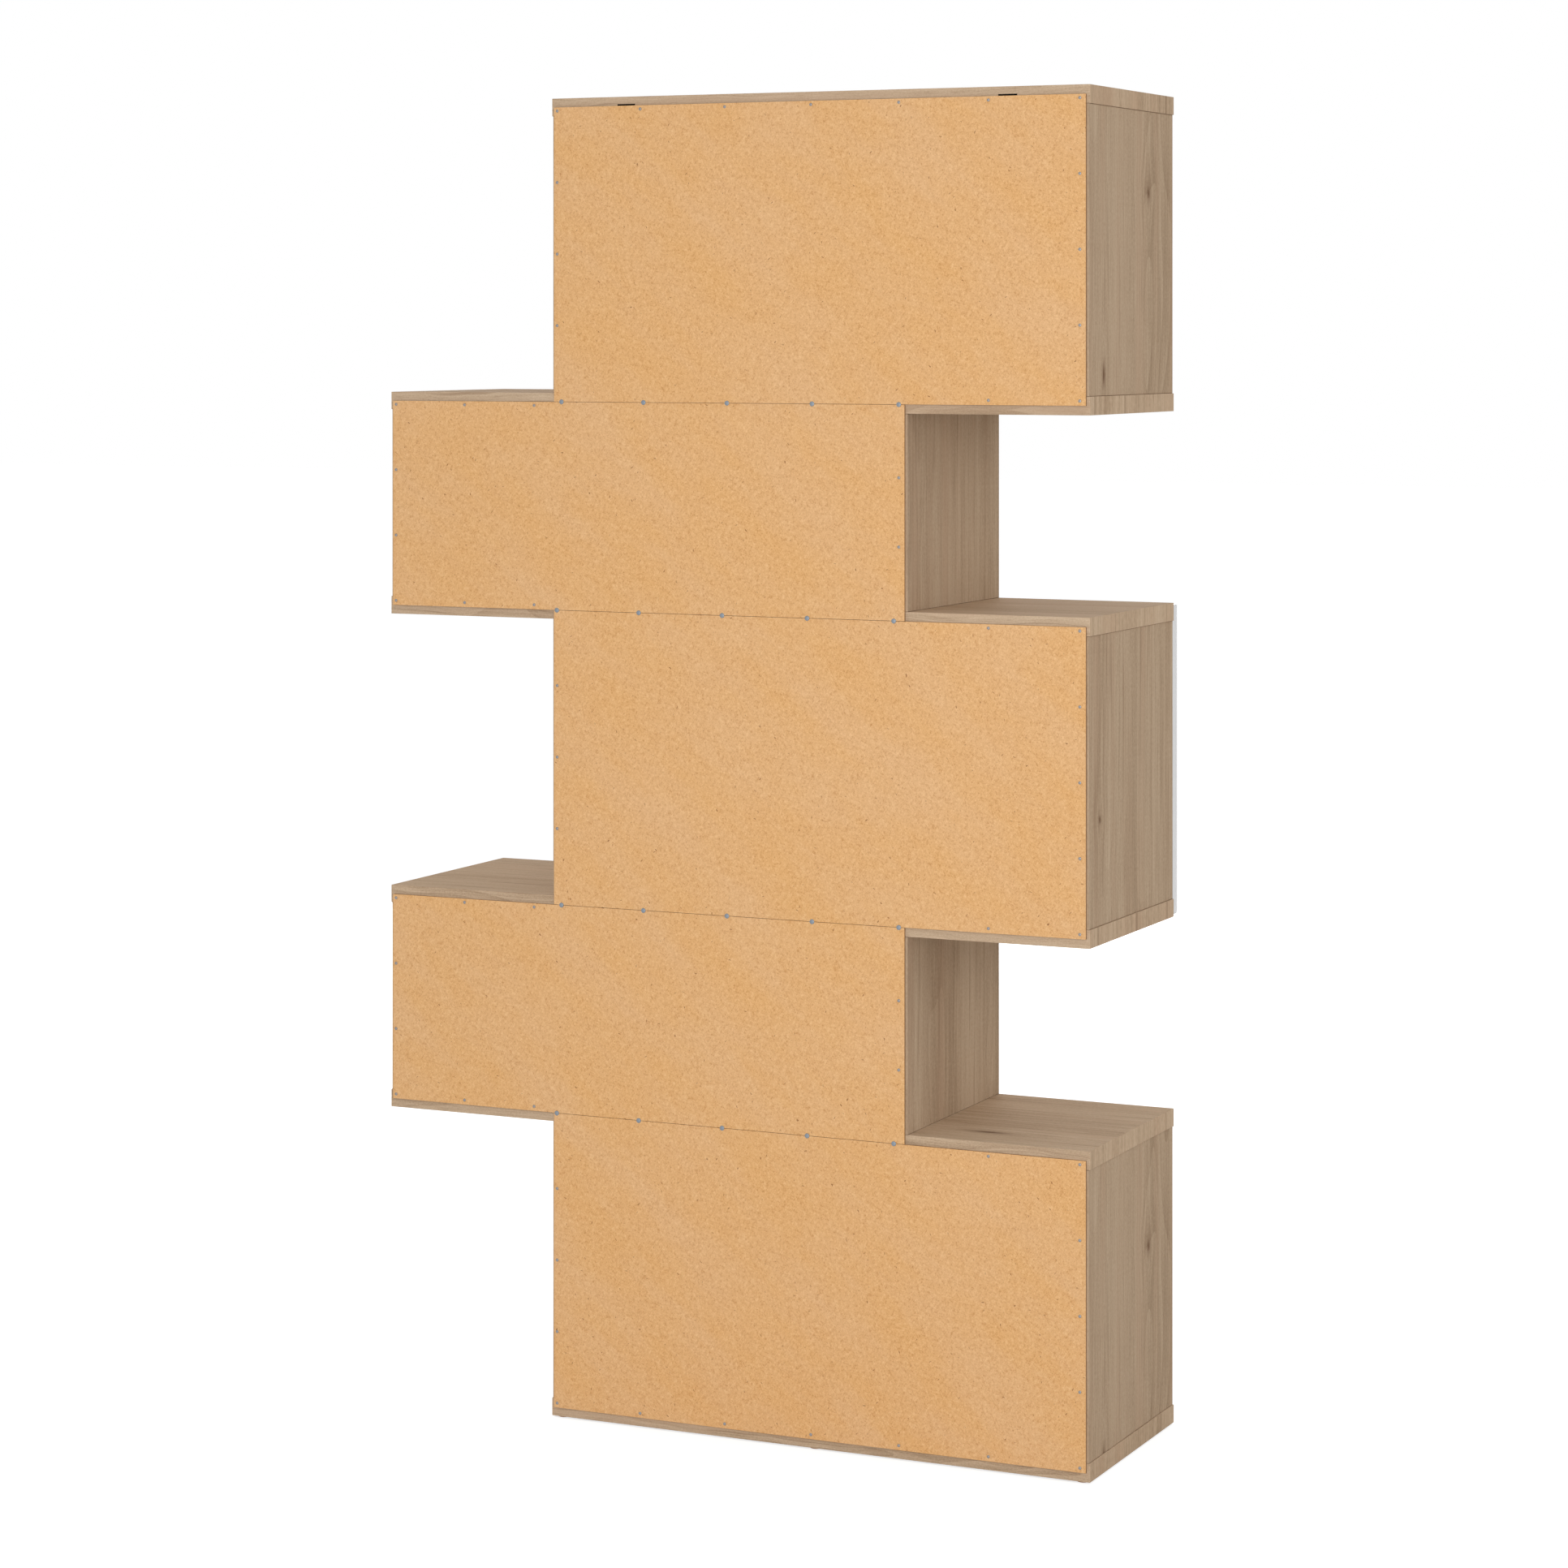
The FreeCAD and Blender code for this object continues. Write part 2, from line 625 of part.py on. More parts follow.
# Hinge pivots: the link turns on a pin in the arm and the cup turns on a pin in the link
PIVOT_Y = f"({DOOR_REAR} - cup_pivot_depth)"
CUP_PIVOT_X = f"({DOOR_LEFT} + cup_pivot_distance)"
ARM_PIVOT_X = f"({CUP_PIVOT_X} + link_length)"
SIDE_INNER = f"({TALL_X} + side_thickness)"
PLATE_FACE = f"({SIDE_INNER} + plate_thickness)"
PLATE_FRONT = f"({FRONT} + plate_setback)"
PLATE_MIDDLE = f"({PLATE_FRONT} + plate_length / 2)"
ARM_FRONT = f"({FRONT} + arm_setback)"
ARM_FACE = f"({PLATE_FACE} + arm_height)"
ARM_SCREW_DEPTHS = [f"({ARM_FRONT} + arm_screw_front_inset)",
                    f"({ARM_FRONT} + arm_length - arm_screw_rear_inset)"]
CHEEK_INNER = "(link_half_width + cheek_clearance)"
CHEEK_OUTER = f"({CHEEK_INNER} + cheek_thickness)"
WING_X = f"({CUP_X} + wing_offset)"


def upright_rod(label, x, height, half_length, radius, flats=0):
    """A pin, eye or hole along Z, centred on a hinge. Flats, where given, lie at the radius."""
    foot = (x, PIVOT_Y, f"{height} - {half_length}")
    corner_radius = f"{radius} / cos(180 deg / {flats})" if flats else radius
    return rod(label, foot, corner_radius, f"2 * {half_length}", flats=flats)


def pivot_pin(label, x, height):
    """A round pin between the outer faces of two cheeks."""
    return upright_rod(label, x, height, CHEEK_OUTER, "pin_radius")


def pin_hole(label, x, height):
    """A hole through two cheeks that holds a pivot pin fast."""
    return upright_rod(label, x, height, f"({CHEEK_OUTER} + cut_overrun)", "pin_radius", PIN_HOLE_FLAT_COUNT)


def wood_screw(label, foot, turn):
    """A screw whose head seats at foot and stands along the turned +Z, with its shank the other way."""
    head = rod(f"{label}_head", ("0", "0", "0"), "wood_screw_head_radius", "wood_screw_head_height",
               flats=HEAD_FLAT_COUNT)
    shank = rod(f"{label}_shank", ("0", "0", "-wood_screw_length"), "wood_screw_radius", "wood_screw_length",
                flats=BOLT_FLAT_COUNT)
    whole = fuse(label, [head, shank])
    return put(whole, foot, turn)


def screw_hole(foot, thickness, turn):
    """A clear hole for a wood screw through a thin piece, begun one overrun before it."""
    return rod("screw_hole", foot, "wood_screw_radius + bore_clearance", f"{thickness} + 2 * cut_overrun",
               turn, BOLT_FLAT_COUNT)


def make_cup(height):
    """Drawn cup with two screw wings, a notch that lets the link swing out and two lugs for its pin."""
    shell = rod("cup_shell", (CUP_X, f"{DOOR_REAR} - cup_depth", height), "cup_radius", "cup_depth", TO_REAR,
                CUP_FLAT_COUNT)
    bridge = block("cup_bridge", (f"{WING_X} - wing_radius", DOOR_REAR, f"{height} - wing_reach"),
                   ("2 * wing_radius", "wing_thickness", "2 * wing_reach"))
    wings = [rod("cup_wing", (WING_X, DOOR_REAR, f"{height} {sign} wing_reach"), "wing_radius",
                 "wing_thickness", TO_REAR, FOOT_FLAT_COUNT) for sign in "+-"]
    hollow = rod("cup_hollow", (CUP_X, f"{DOOR_REAR} - cup_depth + cup_wall", height),
                 "cup_radius - cup_wall", "cup_depth - cup_wall + wing_thickness + cut_overrun",
                 TO_REAR, CUP_FLAT_COUNT)
    notch = block("cup_notch", (DOOR_LEFT, f"{DOOR_REAR} - cup_notch_depth", f"{height} - {CHEEK_INNER}"),
                  ("cup_pivot_distance", "cup_notch_depth + cut_overrun", f"2 * {CHEEK_INNER}"))
    open_cup = cut("cup_open", fuse("cup_blank", [shell, bridge] + wings), [hollow, notch])
    lug_root = f"{DOOR_REAR} - cup_depth + cup_wall / 2"
    lugs = [block("cup_lug", (f"{CUP_PIVOT_X} - link_eye_radius", lug_root, foot),
                  ("2 * link_eye_radius", "cup_depth - cup_wall / 2", "cheek_thickness"))
            for foot in (f"{height} + {CHEEK_INNER}", f"{height} - {CHEEK_OUTER}")]
    holes = [screw_hole((WING_X, f"{DOOR_REAR} - cut_overrun", f"{height} {sign} wing_reach"),
                        "wing_thickness", TO_REAR) for sign in "+-"]
    holes.append(pin_hole("cup_pin_hole", CUP_PIVOT_X, height))
    return cut("cup", fuse("cup_whole", [open_cup] + lugs), holes)


def make_link(height):
    """Flat link with an eye that runs freely round each pivot pin."""
    strap = block("link_strap", (CUP_PIVOT_X, f"{PIVOT_Y} - link_eye_radius", f"{height} - link_half_width"),
                  ("link_length", "2 * link_eye_radius", "2 * link_half_width"))
    pivots = (CUP_PIVOT_X, ARM_PIVOT_X)
    eyes = [upright_rod("link_eye", x, height, "link_half_width", "link_eye_radius", EYE_FLAT_COUNT)
            for x in pivots]
    holes = [upright_rod("link_hole", x, height, "(link_half_width + cut_overrun)",
                         "(pin_radius + pin_clearance)", PIN_HOLE_FLAT_COUNT) for x in pivots]
    return cut("link", fuse("link_blank", [strap] + eyes), holes)


def make_arm(height):
    """Channel arm, open to its plate, with two cheeks that reach into the cup and hold the link's pin."""
    channel = block("arm_channel", (PLATE_FACE, ARM_FRONT, f"{height} - {CHEEK_OUTER}"),
                    ("arm_height", "arm_length", f"2 * {CHEEK_OUTER}"))
    neck_run = f"({ARM_PIVOT_X} - {PLATE_FACE} - knuckle_radius)"
    neck_rise = f"({ARM_FRONT} + knuckle_radius - {PIVOT_Y})"
    lean = f"atan2({neck_run}; {neck_rise})"
    neck_x = f"{ARM_PIVOT_X} - knuckle_radius * cos({lean})"
    neck_y = f"{PIVOT_Y} - knuckle_radius * sin({lean})"
    pieces = [channel]
    for foot in (f"{height} + {CHEEK_INNER}", f"{height} - {CHEEK_OUTER}"):
        pieces.append(rod("arm_knuckle", (ARM_PIVOT_X, PIVOT_Y, foot), "knuckle_radius", "cheek_thickness",
                          flats=EYE_FLAT_COUNT))
        neck = add("Part::Box", "arm_neck", Length="2 * knuckle_radius",
                   Width=f"sqrt({neck_run} ^ 2 + {neck_rise} ^ 2)", Height="cheek_thickness")
        put(neck, (neck_x, neck_y, foot))
        neck.setExpression("Placement.Rotation.Angle", bound(lean))
        pieces.append(neck)
    hollow = block("arm_hollow", (f"{PLATE_FACE} - cut_overrun", f"{ARM_FRONT} - cut_overrun",
                                  f"{height} - {CHEEK_INNER}"),
                   ("arm_height - arm_wall + cut_overrun", "arm_length + 2 * cut_overrun",
                    f"2 * {CHEEK_INNER}"))
    tools = [hollow, pin_hole("arm_pin_hole", ARM_PIVOT_X, height)]
    for depth in ARM_SCREW_DEPTHS:
        tools.append(rod("arm_screw_hole", (f"{ARM_FACE} - arm_wall - cut_overrun", depth, height),
                         "arm_screw_radius + bore_clearance", "arm_wall + 2 * cut_overrun", TO_RIGHT,
                         BOLT_FLAT_COUNT))
    return cut("arm", fuse("arm_blank", pieces), tools)


def make_arm_screw(depth, height):
    """An adjusting screw: its head seats on the arm's web and its end on the plate."""
    head = rod("arm_screw_head", (ARM_FACE, depth, height), "arm_screw_head_radius", "arm_screw_head_height",
               TO_RIGHT, HEAD_FLAT_COUNT)
    shank = rod("arm_screw_shank", (PLATE_FACE, depth, height), "arm_screw_radius", "arm_height", TO_RIGHT,
                BOLT_FLAT_COUNT)
    return fuse("arm_screw", [head, shank])


def make_plate(height):
    """Cross-shaped mounting plate on the inner face of the side."""
    spine = block("plate_spine", (SIDE_INNER, PLATE_FRONT, f"{height} - {CHEEK_OUTER}"),
                  ("plate_thickness", "plate_length", f"2 * {CHEEK_OUTER}"))
    wing_corner = (SIDE_INNER, f"{PLATE_MIDDLE} - plate_wing_width / 2", f"{height} - plate_half_span")
    wing = block("plate_wing", wing_corner, ("plate_thickness", "plate_wing_width", "2 * plate_half_span"))
    holes = [screw_hole((f"{SIDE_INNER} - cut_overrun", PLATE_MIDDLE, f"{height} {sign} plate_screw_reach"),
                        "plate_thickness", TO_RIGHT) for sign in "+-"]
    return cut("plate", fuse("plate_blank", [spine, wing]), holes)


hand_pair(gather("cup_pair", [make_cup(height) for height in HINGE_HEIGHTS]), "hinge_cups")
hand_pair(gather("cup_pin_pair", [pivot_pin("cup_pin", CUP_PIVOT_X, height) for height in HINGE_HEIGHTS]),
          "cup_pins")
hand_pair(gather("link_pair", [make_link(height) for height in HINGE_HEIGHTS]), "hinge_links")
hand_pair(gather("arm_pair", [make_arm(height) for height in HINGE_HEIGHTS]), "hinge_arms")
hand_pair(gather("arm_pin_pair", [pivot_pin("arm_pin", ARM_PIVOT_X, height) for height in HINGE_HEIGHTS]),
          "arm_pins")
arm_screws = [make_arm_screw(depth, height) for height in HINGE_HEIGHTS for depth in ARM_SCREW_DEPTHS]
hand_pair(gather("arm_screw_group", arm_screws), "arm_screws")
hand_pair(gather("plate_pair", [make_plate(height) for height in HINGE_HEIGHTS]), "hinge_plates")
WING_FACE = f"{DOOR_REAR} + wing_thickness"
cup_screws = [wood_screw("cup_screw", (WING_X, WING_FACE, f"{height} {sign} wing_reach"), TO_REAR)
              for height in HINGE_HEIGHTS for sign in "+-"]
hand_pair(gather("cup_screw_group", cup_screws), "cup_screws")
plate_screw_heights = [f"{height} {sign} plate_screw_reach" for height in HINGE_HEIGHTS for sign in "+-"]
plate_screws = [wood_screw("plate_screw", (PLATE_FACE, PLATE_MIDDLE, height), TO_RIGHT)
                for height in plate_screw_heights]
hand_pair(gather("plate_screw_group", plate_screws), "plate_screws")

# Push latches under the shelf, one each side of the middle
LATCH_X = f"({DOORS_MIDDLE} - latch_offset)"
LATCH_TOP = undersides[DOOR_TIER + 1]
LATCH_FRONT = f"({FRONT} + latch_setback)"
PLUNGER_TIP = f"({DOOR_REAR} + plunger_door_clearance)"
PLUNGER_HEIGHT = f"({LATCH_TOP} - latch_height / 2)"
LATCH_MIDDLE = f"({LATCH_FRONT} + latch_length / 2)"
EAR_UNDERSIDE = f"({LATCH_TOP} - latch_ear_thickness)"
case_corner = (f"{LATCH_X} - latch_width / 2", LATCH_FRONT, f"{LATCH_TOP} - latch_height")
housing_case = block("latch_case", case_corner, ("latch_width", "latch_length", "latch_height"))
ear_span = "(latch_width + 2 * latch_ear_reach)"
ear_corner = (f"{LATCH_X} - {ear_span} / 2", f"{LATCH_MIDDLE} - latch_ear_length / 2", EAR_UNDERSIDE)
housing_ears = block("latch_ears", ear_corner, (ear_span, "latch_ear_length", "latch_ear_thickness"))
plunger_bore = rod("plunger_bore", (LATCH_X, f"{LATCH_FRONT} - cut_overrun", PLUNGER_HEIGHT),
                   "plunger_radius + plunger_bore_clearance",
                   f"{PLUNGER_TIP} + plunger_length + plunger_travel + 2 * cut_overrun - {LATCH_FRONT}",
                   TO_REAR, PLUNGER_FLAT_COUNT)
latch_screw_places = [f"({LATCH_X} {sign} (latch_width + latch_ear_reach) / 2)" for sign in "+-"]
ear_holes = [screw_hole((x, LATCH_MIDDLE, f"{EAR_UNDERSIDE} - cut_overrun"), "latch_ear_thickness", UPRIGHT)
             for x in latch_screw_places]
hand_pair(cut("latch", fuse("latch_blank", [housing_case, housing_ears]), [plunger_bore] + ear_holes),
          "latch_housing")
plunger_tip = rod("plunger_tip", (LATCH_X, PLUNGER_TIP, PLUNGER_HEIGHT), "plunger_radius - plunger_tip_step",
                  "plunger_tip_length", TO_REAR, PLUNGER_FLAT_COUNT)
plunger_rod = rod("plunger_rod", (LATCH_X, f"{PLUNGER_TIP} + plunger_tip_length", PLUNGER_HEIGHT),
                  "plunger_radius", "plunger_length - plunger_tip_length", TO_REAR, PLUNGER_FLAT_COUNT)
hand_pair(fuse("plunger", [plunger_tip, plunger_rod]), "latch_plunger")
latch_screws = [wood_screw("latch_screw", (x, LATCH_MIDDLE, EAR_UNDERSIDE), HALF_TURN_ABOUT_X)
                for x in latch_screw_places]
hand_pair(gather("latch_screw_pair", latch_screws), "latch_screws")

# Check the document, then write one file for each node
doc.recompute()
for item in doc.Objects:
    if "Invalid" in item.State or "Error" in item.State:
        raise RuntimeError(f"{item.Label} failed: {item.State}")
os.makedirs("parts", exist_ok=True)
for item in nodes:
    if item.Shape.isNull() or not item.Shape.isValid():
        raise RuntimeError(f"{item.Label} has no valid shape")
for item in nodes:
    item.Shape.exportStep(f"parts/{item.Label}.step")
print(f"{len(nodes)} nodes written")
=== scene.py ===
import bmesh
import bpy
import math
import random
from mathutils import Matrix, Vector


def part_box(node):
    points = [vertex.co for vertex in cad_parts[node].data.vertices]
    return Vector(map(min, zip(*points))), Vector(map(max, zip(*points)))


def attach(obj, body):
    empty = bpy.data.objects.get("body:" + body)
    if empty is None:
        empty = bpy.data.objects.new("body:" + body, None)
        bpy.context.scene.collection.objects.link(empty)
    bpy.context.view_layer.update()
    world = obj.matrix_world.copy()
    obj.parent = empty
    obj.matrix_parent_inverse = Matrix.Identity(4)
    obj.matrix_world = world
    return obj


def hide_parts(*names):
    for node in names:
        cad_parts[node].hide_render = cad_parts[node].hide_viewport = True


# Looks of a zig-zag bookcase, seen from behind. Metres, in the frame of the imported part.
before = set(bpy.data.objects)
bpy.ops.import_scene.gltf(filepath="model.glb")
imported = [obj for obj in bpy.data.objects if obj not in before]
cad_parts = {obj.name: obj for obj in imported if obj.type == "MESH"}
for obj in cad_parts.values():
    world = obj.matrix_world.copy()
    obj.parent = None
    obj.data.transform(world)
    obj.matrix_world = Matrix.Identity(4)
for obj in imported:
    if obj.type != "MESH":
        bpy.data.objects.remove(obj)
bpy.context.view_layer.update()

MM = 0.001
SEED = 7
WELD = 0.01 * MM
OVERRUN = 1.0 * MM
UP = Vector((0, 0, 1))
RIGHTWARD = Vector((1, 0, 0))
REARWARD = Vector((0, 1, 0))
TIERS = range(1, 6)
HAND_SIGNS = {"left": 1, "right": -1}
BOARDS = ["bottom_panel", "shelf_1", "shelf_2", "shelf_3", "shelf_4", "top_panel"]
SIDES = [f"tier_{tier}_{hand}_side" for tier in TIERS for hand in HAND_SIGNS]


# Colours

def srgb(red, green, blue):
    """A display colour, 0 to 255, as a linear shader colour."""
    def linear(level):
        share = level / 255
        return share / 12.92 if share <= 0.04045 else ((share + 0.055) / 1.055) ** 2.4
    return (linear(red), linear(green), linear(blue), 1.0)


OAK_DARK = srgb(152, 128, 103)
OAK_MIDDLE = srgb(182, 158, 132)
OAK_LIGHT = srgb(200, 178, 152)
OAK_LINE = srgb(132, 105, 81)
OAK_KNOT = srgb(112, 84, 64)
OAK_WARM = srgb(182, 152, 126)
BOARD_TAN = srgb(221, 171, 114)
BOARD_PINK = srgb(221, 176, 128)
BOARD_FIBRE = srgb(240, 202, 152)
BOARD_SHADE = srgb(188, 132, 76)
BOARD_FLECK = srgb(134, 82, 42)
BOARD_EDGE = srgb(158, 120, 84)
# Painted shadow for the seams at the ends of the sides
SEAM_SHADE_DARK = srgb(100, 80, 62)
SEAM_SHADE_LIGHT = srgb(130, 106, 84)
LACQUER_DULL = srgb(213, 213, 213)
LACQUER_WHITE = srgb(220, 220, 220)
BEECH_DARK = srgb(176, 132, 92)
BEECH_LIGHT = srgb(214, 178, 136)


# Node trees

class Shader:
    """A material's node tree, with a short call for each kind of node used here."""

    def __init__(self, name):
        self.material = bpy.data.materials.new(name)
        self.material.use_nodes = True
        self.tree = self.material.node_tree
        self.surface = self.tree.nodes["Principled BSDF"]

    def feed(self, socket, value):
        """Link a socket, or set its constant."""
        if isinstance(value, bpy.types.NodeSocket):
            self.tree.links.new(value, socket)
        else:
            socket.default_value = value

    def node(self, kind, inputs, **settings):
        """A new node with its settings and inputs."""
        node = self.tree.nodes.new(kind)
        for name, setting in settings.items():
            setattr(node, name, setting)
        for socket, value in inputs.items():
            self.feed(node.inputs[socket], value)
        return node

    def finish(self, **inputs):
        """Feed the surface, by socket names with underscores for spaces, and give the material back."""
        for name, value in inputs.items():
            self.feed(self.surface.inputs[name.replace("_", " ")], value)
        return self.material

    def math(self, operation, first, second=0.0):
        return self.node("ShaderNodeMath", {0: first, 1: second}, operation=operation).outputs[0]

    def total(self, start, terms):
        """A start value plus each term times its weight."""
        result = start
        for term, weight in terms:
            result = self.math("ADD", self.math("MULTIPLY", term, weight), result)
        return result

    def point(self, across, up, deep=0.0):
        return self.node("ShaderNodeCombineXYZ", {0: across, 1: up, 2: deep}).outputs[0]

    def noise(self, vector, scale=1.0, detail=2.0, roughness=0.5, distortion=0.0):
        inputs = {"Vector": vector, "Scale": scale, "Detail": detail, "Roughness": roughness,
                  "Distortion": distortion}
        return self.node("ShaderNodeTexNoise", inputs).outputs[0]

    def mapped(self, vector, **inputs):
        """A vector moved, turned and scaled."""
        values = {"Vector": vector, **inputs}
        return self.node("ShaderNodeMapping", values).outputs[0]

    def step(self, value, low, high):
        """A smooth step from 0 to 1 as the value goes from low to high."""
        inputs = {"Value": value, "From Min": low, "From Max": high}
        return self.node("ShaderNodeMapRange", inputs, interpolation_type="SMOOTHSTEP").outputs[0]

    def ramp(self, factor, stops):
        """A colour from a list of places and colours."""
        node = self.node("ShaderNodeValToRGB", {0: factor})
        elements = node.color_ramp.elements
        while len(elements) < len(stops):
            elements.new(0.5)
        for element, (place, colour) in zip(elements, stops):
            element.position = place
            element.color = colour
        return node.outputs[0]

    def mix(self, factor, first, second):
        return self.node("ShaderNodeMix", {0: factor, 6: first, 7: second}, data_type="RGBA").outputs[2]

    def bump(self, height, strength, distance):
        inputs = {"Height": height, "Strength": strength, "Distance": distance}
        return self.node("ShaderNodeBump", inputs).outputs[0]

    def print_place(self):
        """Place on a printed face in metres: along the grain, and across it."""
        uv = self.node("ShaderNodeUVMap", {}, uv_map="print").outputs[0]
        parts = self.node("ShaderNodeSeparateXYZ", {0: uv}).outputs
        return parts[0], parts[1]

    def object_place(self):
        """Place on the object in metres."""
        return self.node("ShaderNodeTexCoord", {}).outputs["Object"]


# Oak print. Knots: place along and across the grain, then half length and half width.
KNOTS = [
    (0.2432, -0.0513, 10 * MM, 6.5 * MM),
    (0.0247, 0.1032, 17 * MM, 5.5 * MM),
    (5.0, 0.0, 26 * MM, 5.5 * MM),
    (9.0, 0.0, 6 * MM, 4.5 * MM),
]
KNOT_REACH = 0.06
KNOT_BEND = 0.7
KNOT_CORE = 2.2
KNOT_RING = 0.45


def knot_field(shader, along, across):
    """Grain bent round the knots, how dark the knots are and the rings about them."""
    bent = across
    dark = 0.0
    halo = 0.0
    for knot_along, knot_across, half_length, half_width in KNOTS:
        aside = shader.math("SUBTRACT", across, knot_across)
        lengthwise = shader.math("DIVIDE", shader.math("SUBTRACT", along, knot_along), half_length)
        sideways = shader.math("DIVIDE", aside, half_width)
        spread = shader.math("ADD", shader.math("POWER", shader.math("ABSOLUTE", lengthwise), 2.0),
                             shader.math("POWER", shader.math("ABSOLUTE", sideways), 2.0))
        near = shader.math("EXPONENT", shader.math("MULTIPLY", spread, -KNOT_REACH))
        core = shader.math("EXPONENT", shader.math("MULTIPLY", spread, -KNOT_CORE))
        ring = shader.math("EXPONENT", shader.math("MULTIPLY", spread, -KNOT_RING))
        pull = shader.math("MULTIPLY", shader.math("MULTIPLY", aside, near), KNOT_BEND)
        bent = shader.math("SUBTRACT", bent, pull)
        dark = shader.math("MAXIMUM", dark, core)
        halo = shader.math("MAXIMUM", halo, ring)
    return bent, dark, halo


FIGURE_RINGS = 20.0
TERMS_MIDDLE = 0.59


def oak_material(name, painted_light_gain, sway=5 * MM, sway_rate=2.6, contrast=1.0, banding=0.6):
    """Matt oak print: broad bands, flame figure, uneven streaks, pores, dark lines and a few knots. The gain
    paints light: above 1 it gives a lighter copy of the print.
    """
    shader = Shader(name)
    along, across = shader.print_place()
    bent, knot, halo = knot_field(shader, along, across)

    def streaks(per_metre_along, per_metre_across, **settings):
        place = shader.point(shader.math("MULTIPLY", along, per_metre_along),
                             shader.math("MULTIPLY", bent, per_metre_across))
        return shader.noise(place, **settings)

    # A print colour scaled by the gain, which is painted light where the gain is above 1
    def with_painted_light(colour):
        return tuple(painted_light_gain * level for level in colour[:3]) + (1.0,)

    wave = streaks(sway_rate, 7, detail=1)
    bent = shader.math("ADD", bent, shader.math("MULTIPLY", wave, sway))
    band = streaks(0.7, 22, detail=2)
    figure = shader.math("FRACT", shader.math("MULTIPLY", streaks(1.1, 8, detail=1), FIGURE_RINGS))
    flame = shader.math("MULTIPLY", figure, shader.step(streaks(0.8, 5, detail=1), 0.42, 0.62))
    streak = streaks(2.4, 150, detail=3, roughness=0.72)
    lined = shader.total(0.35, [(shader.step(streaks(0.6, 14, detail=1), 0.35, 0.65), 1.0)])
    streak_depth = shader.math("MULTIPLY", shader.math("SUBTRACT", streak, 0.5), lined)
    fine = streaks(11, 420, detail=2, roughness=0.6)
    fibre = streaks(22, 1000, detail=2)
    grit = streaks(240, 380, detail=2, roughness=0.6)
    pore = shader.step(streaks(38, 1300, detail=1), 0.6, 0.72)
    line = shader.step(streaks(3.2, 150, detail=2, roughness=0.4), 0.61, 0.72)
    terms = [(band, banding), (flame, -0.2), (streak_depth, 0.65), (fine, 0.5), (fibre, 0.2), (grit, 0.55),
             (pore, -0.2)]
    # The middle of the summed terms comes off, so that contrast turns about the ramp's middle
    level = 0.5 - contrast * (TERMS_MIDDLE + 0.5 * banding)
    tone = shader.total(level, [(term, contrast * weight) for term, weight in terms])
    stops = [(0.15, OAK_DARK), (0.5, OAK_MIDDLE), (0.85, OAK_LIGHT)]
    colour = shader.ramp(tone, [(place, with_painted_light(stop)) for place, stop in stops])
    warmth = shader.step(streaks(0.9, 26, detail=2), 0.45, 0.72)
    colour = shader.mix(shader.math("MULTIPLY", warmth, 0.4), colour, with_painted_light(OAK_WARM))
    colour = shader.mix(shader.math("MULTIPLY", line, 0.4), colour, OAK_LINE)
    colour = shader.mix(shader.math("MULTIPLY", halo, shader.math("MULTIPLY", streak, 0.9)), colour, OAK_LINE)
    knot_grain = shader.math("MULTIPLY", knot, shader.total(0.3, [(fine, 1.1)]))
    colour = shader.mix(knot_grain, colour, OAK_KNOT)
    roughness = shader.total(0.66, [(streak, 0.2), (pore, 0.1)])
    height = shader.total(0.0, [(fibre, 0.5), (pore, -0.6)])
    return shader.finish(Base_Color=colour, Roughness=roughness, Specular_IOR_Level=0.01,
                         Normal=shader.bump(height, 0.25, 0.1 * MM))


def seam_shade_material():
    """Painted shadow: a dark line where the ends of a side meet the boards."""
    shader = Shader("oak_seam_painted_shade")
    seam_mottle = shader.noise(shader.object_place(), scale=400, detail=2)
    colour = shader.ramp(seam_mottle, [(0.3, SEAM_SHADE_DARK), (0.7, SEAM_SHADE_LIGHT)])
    return shader.finish(Base_Color=colour, Roughness=shader.total(0.75, [(seam_mottle, 0.2)]),
                         Specular_IOR_Level=0.02)


# Fibreboard

CLOUD_TURN = 0.65
FLECK_ANGLES = (0.3, 1.2, 2.2)
FLECK_SHARE = 0.86
FLECK_GROWTH = 1.4
SPECK_SHARE = 0.72
FIBRE_START = -1.45


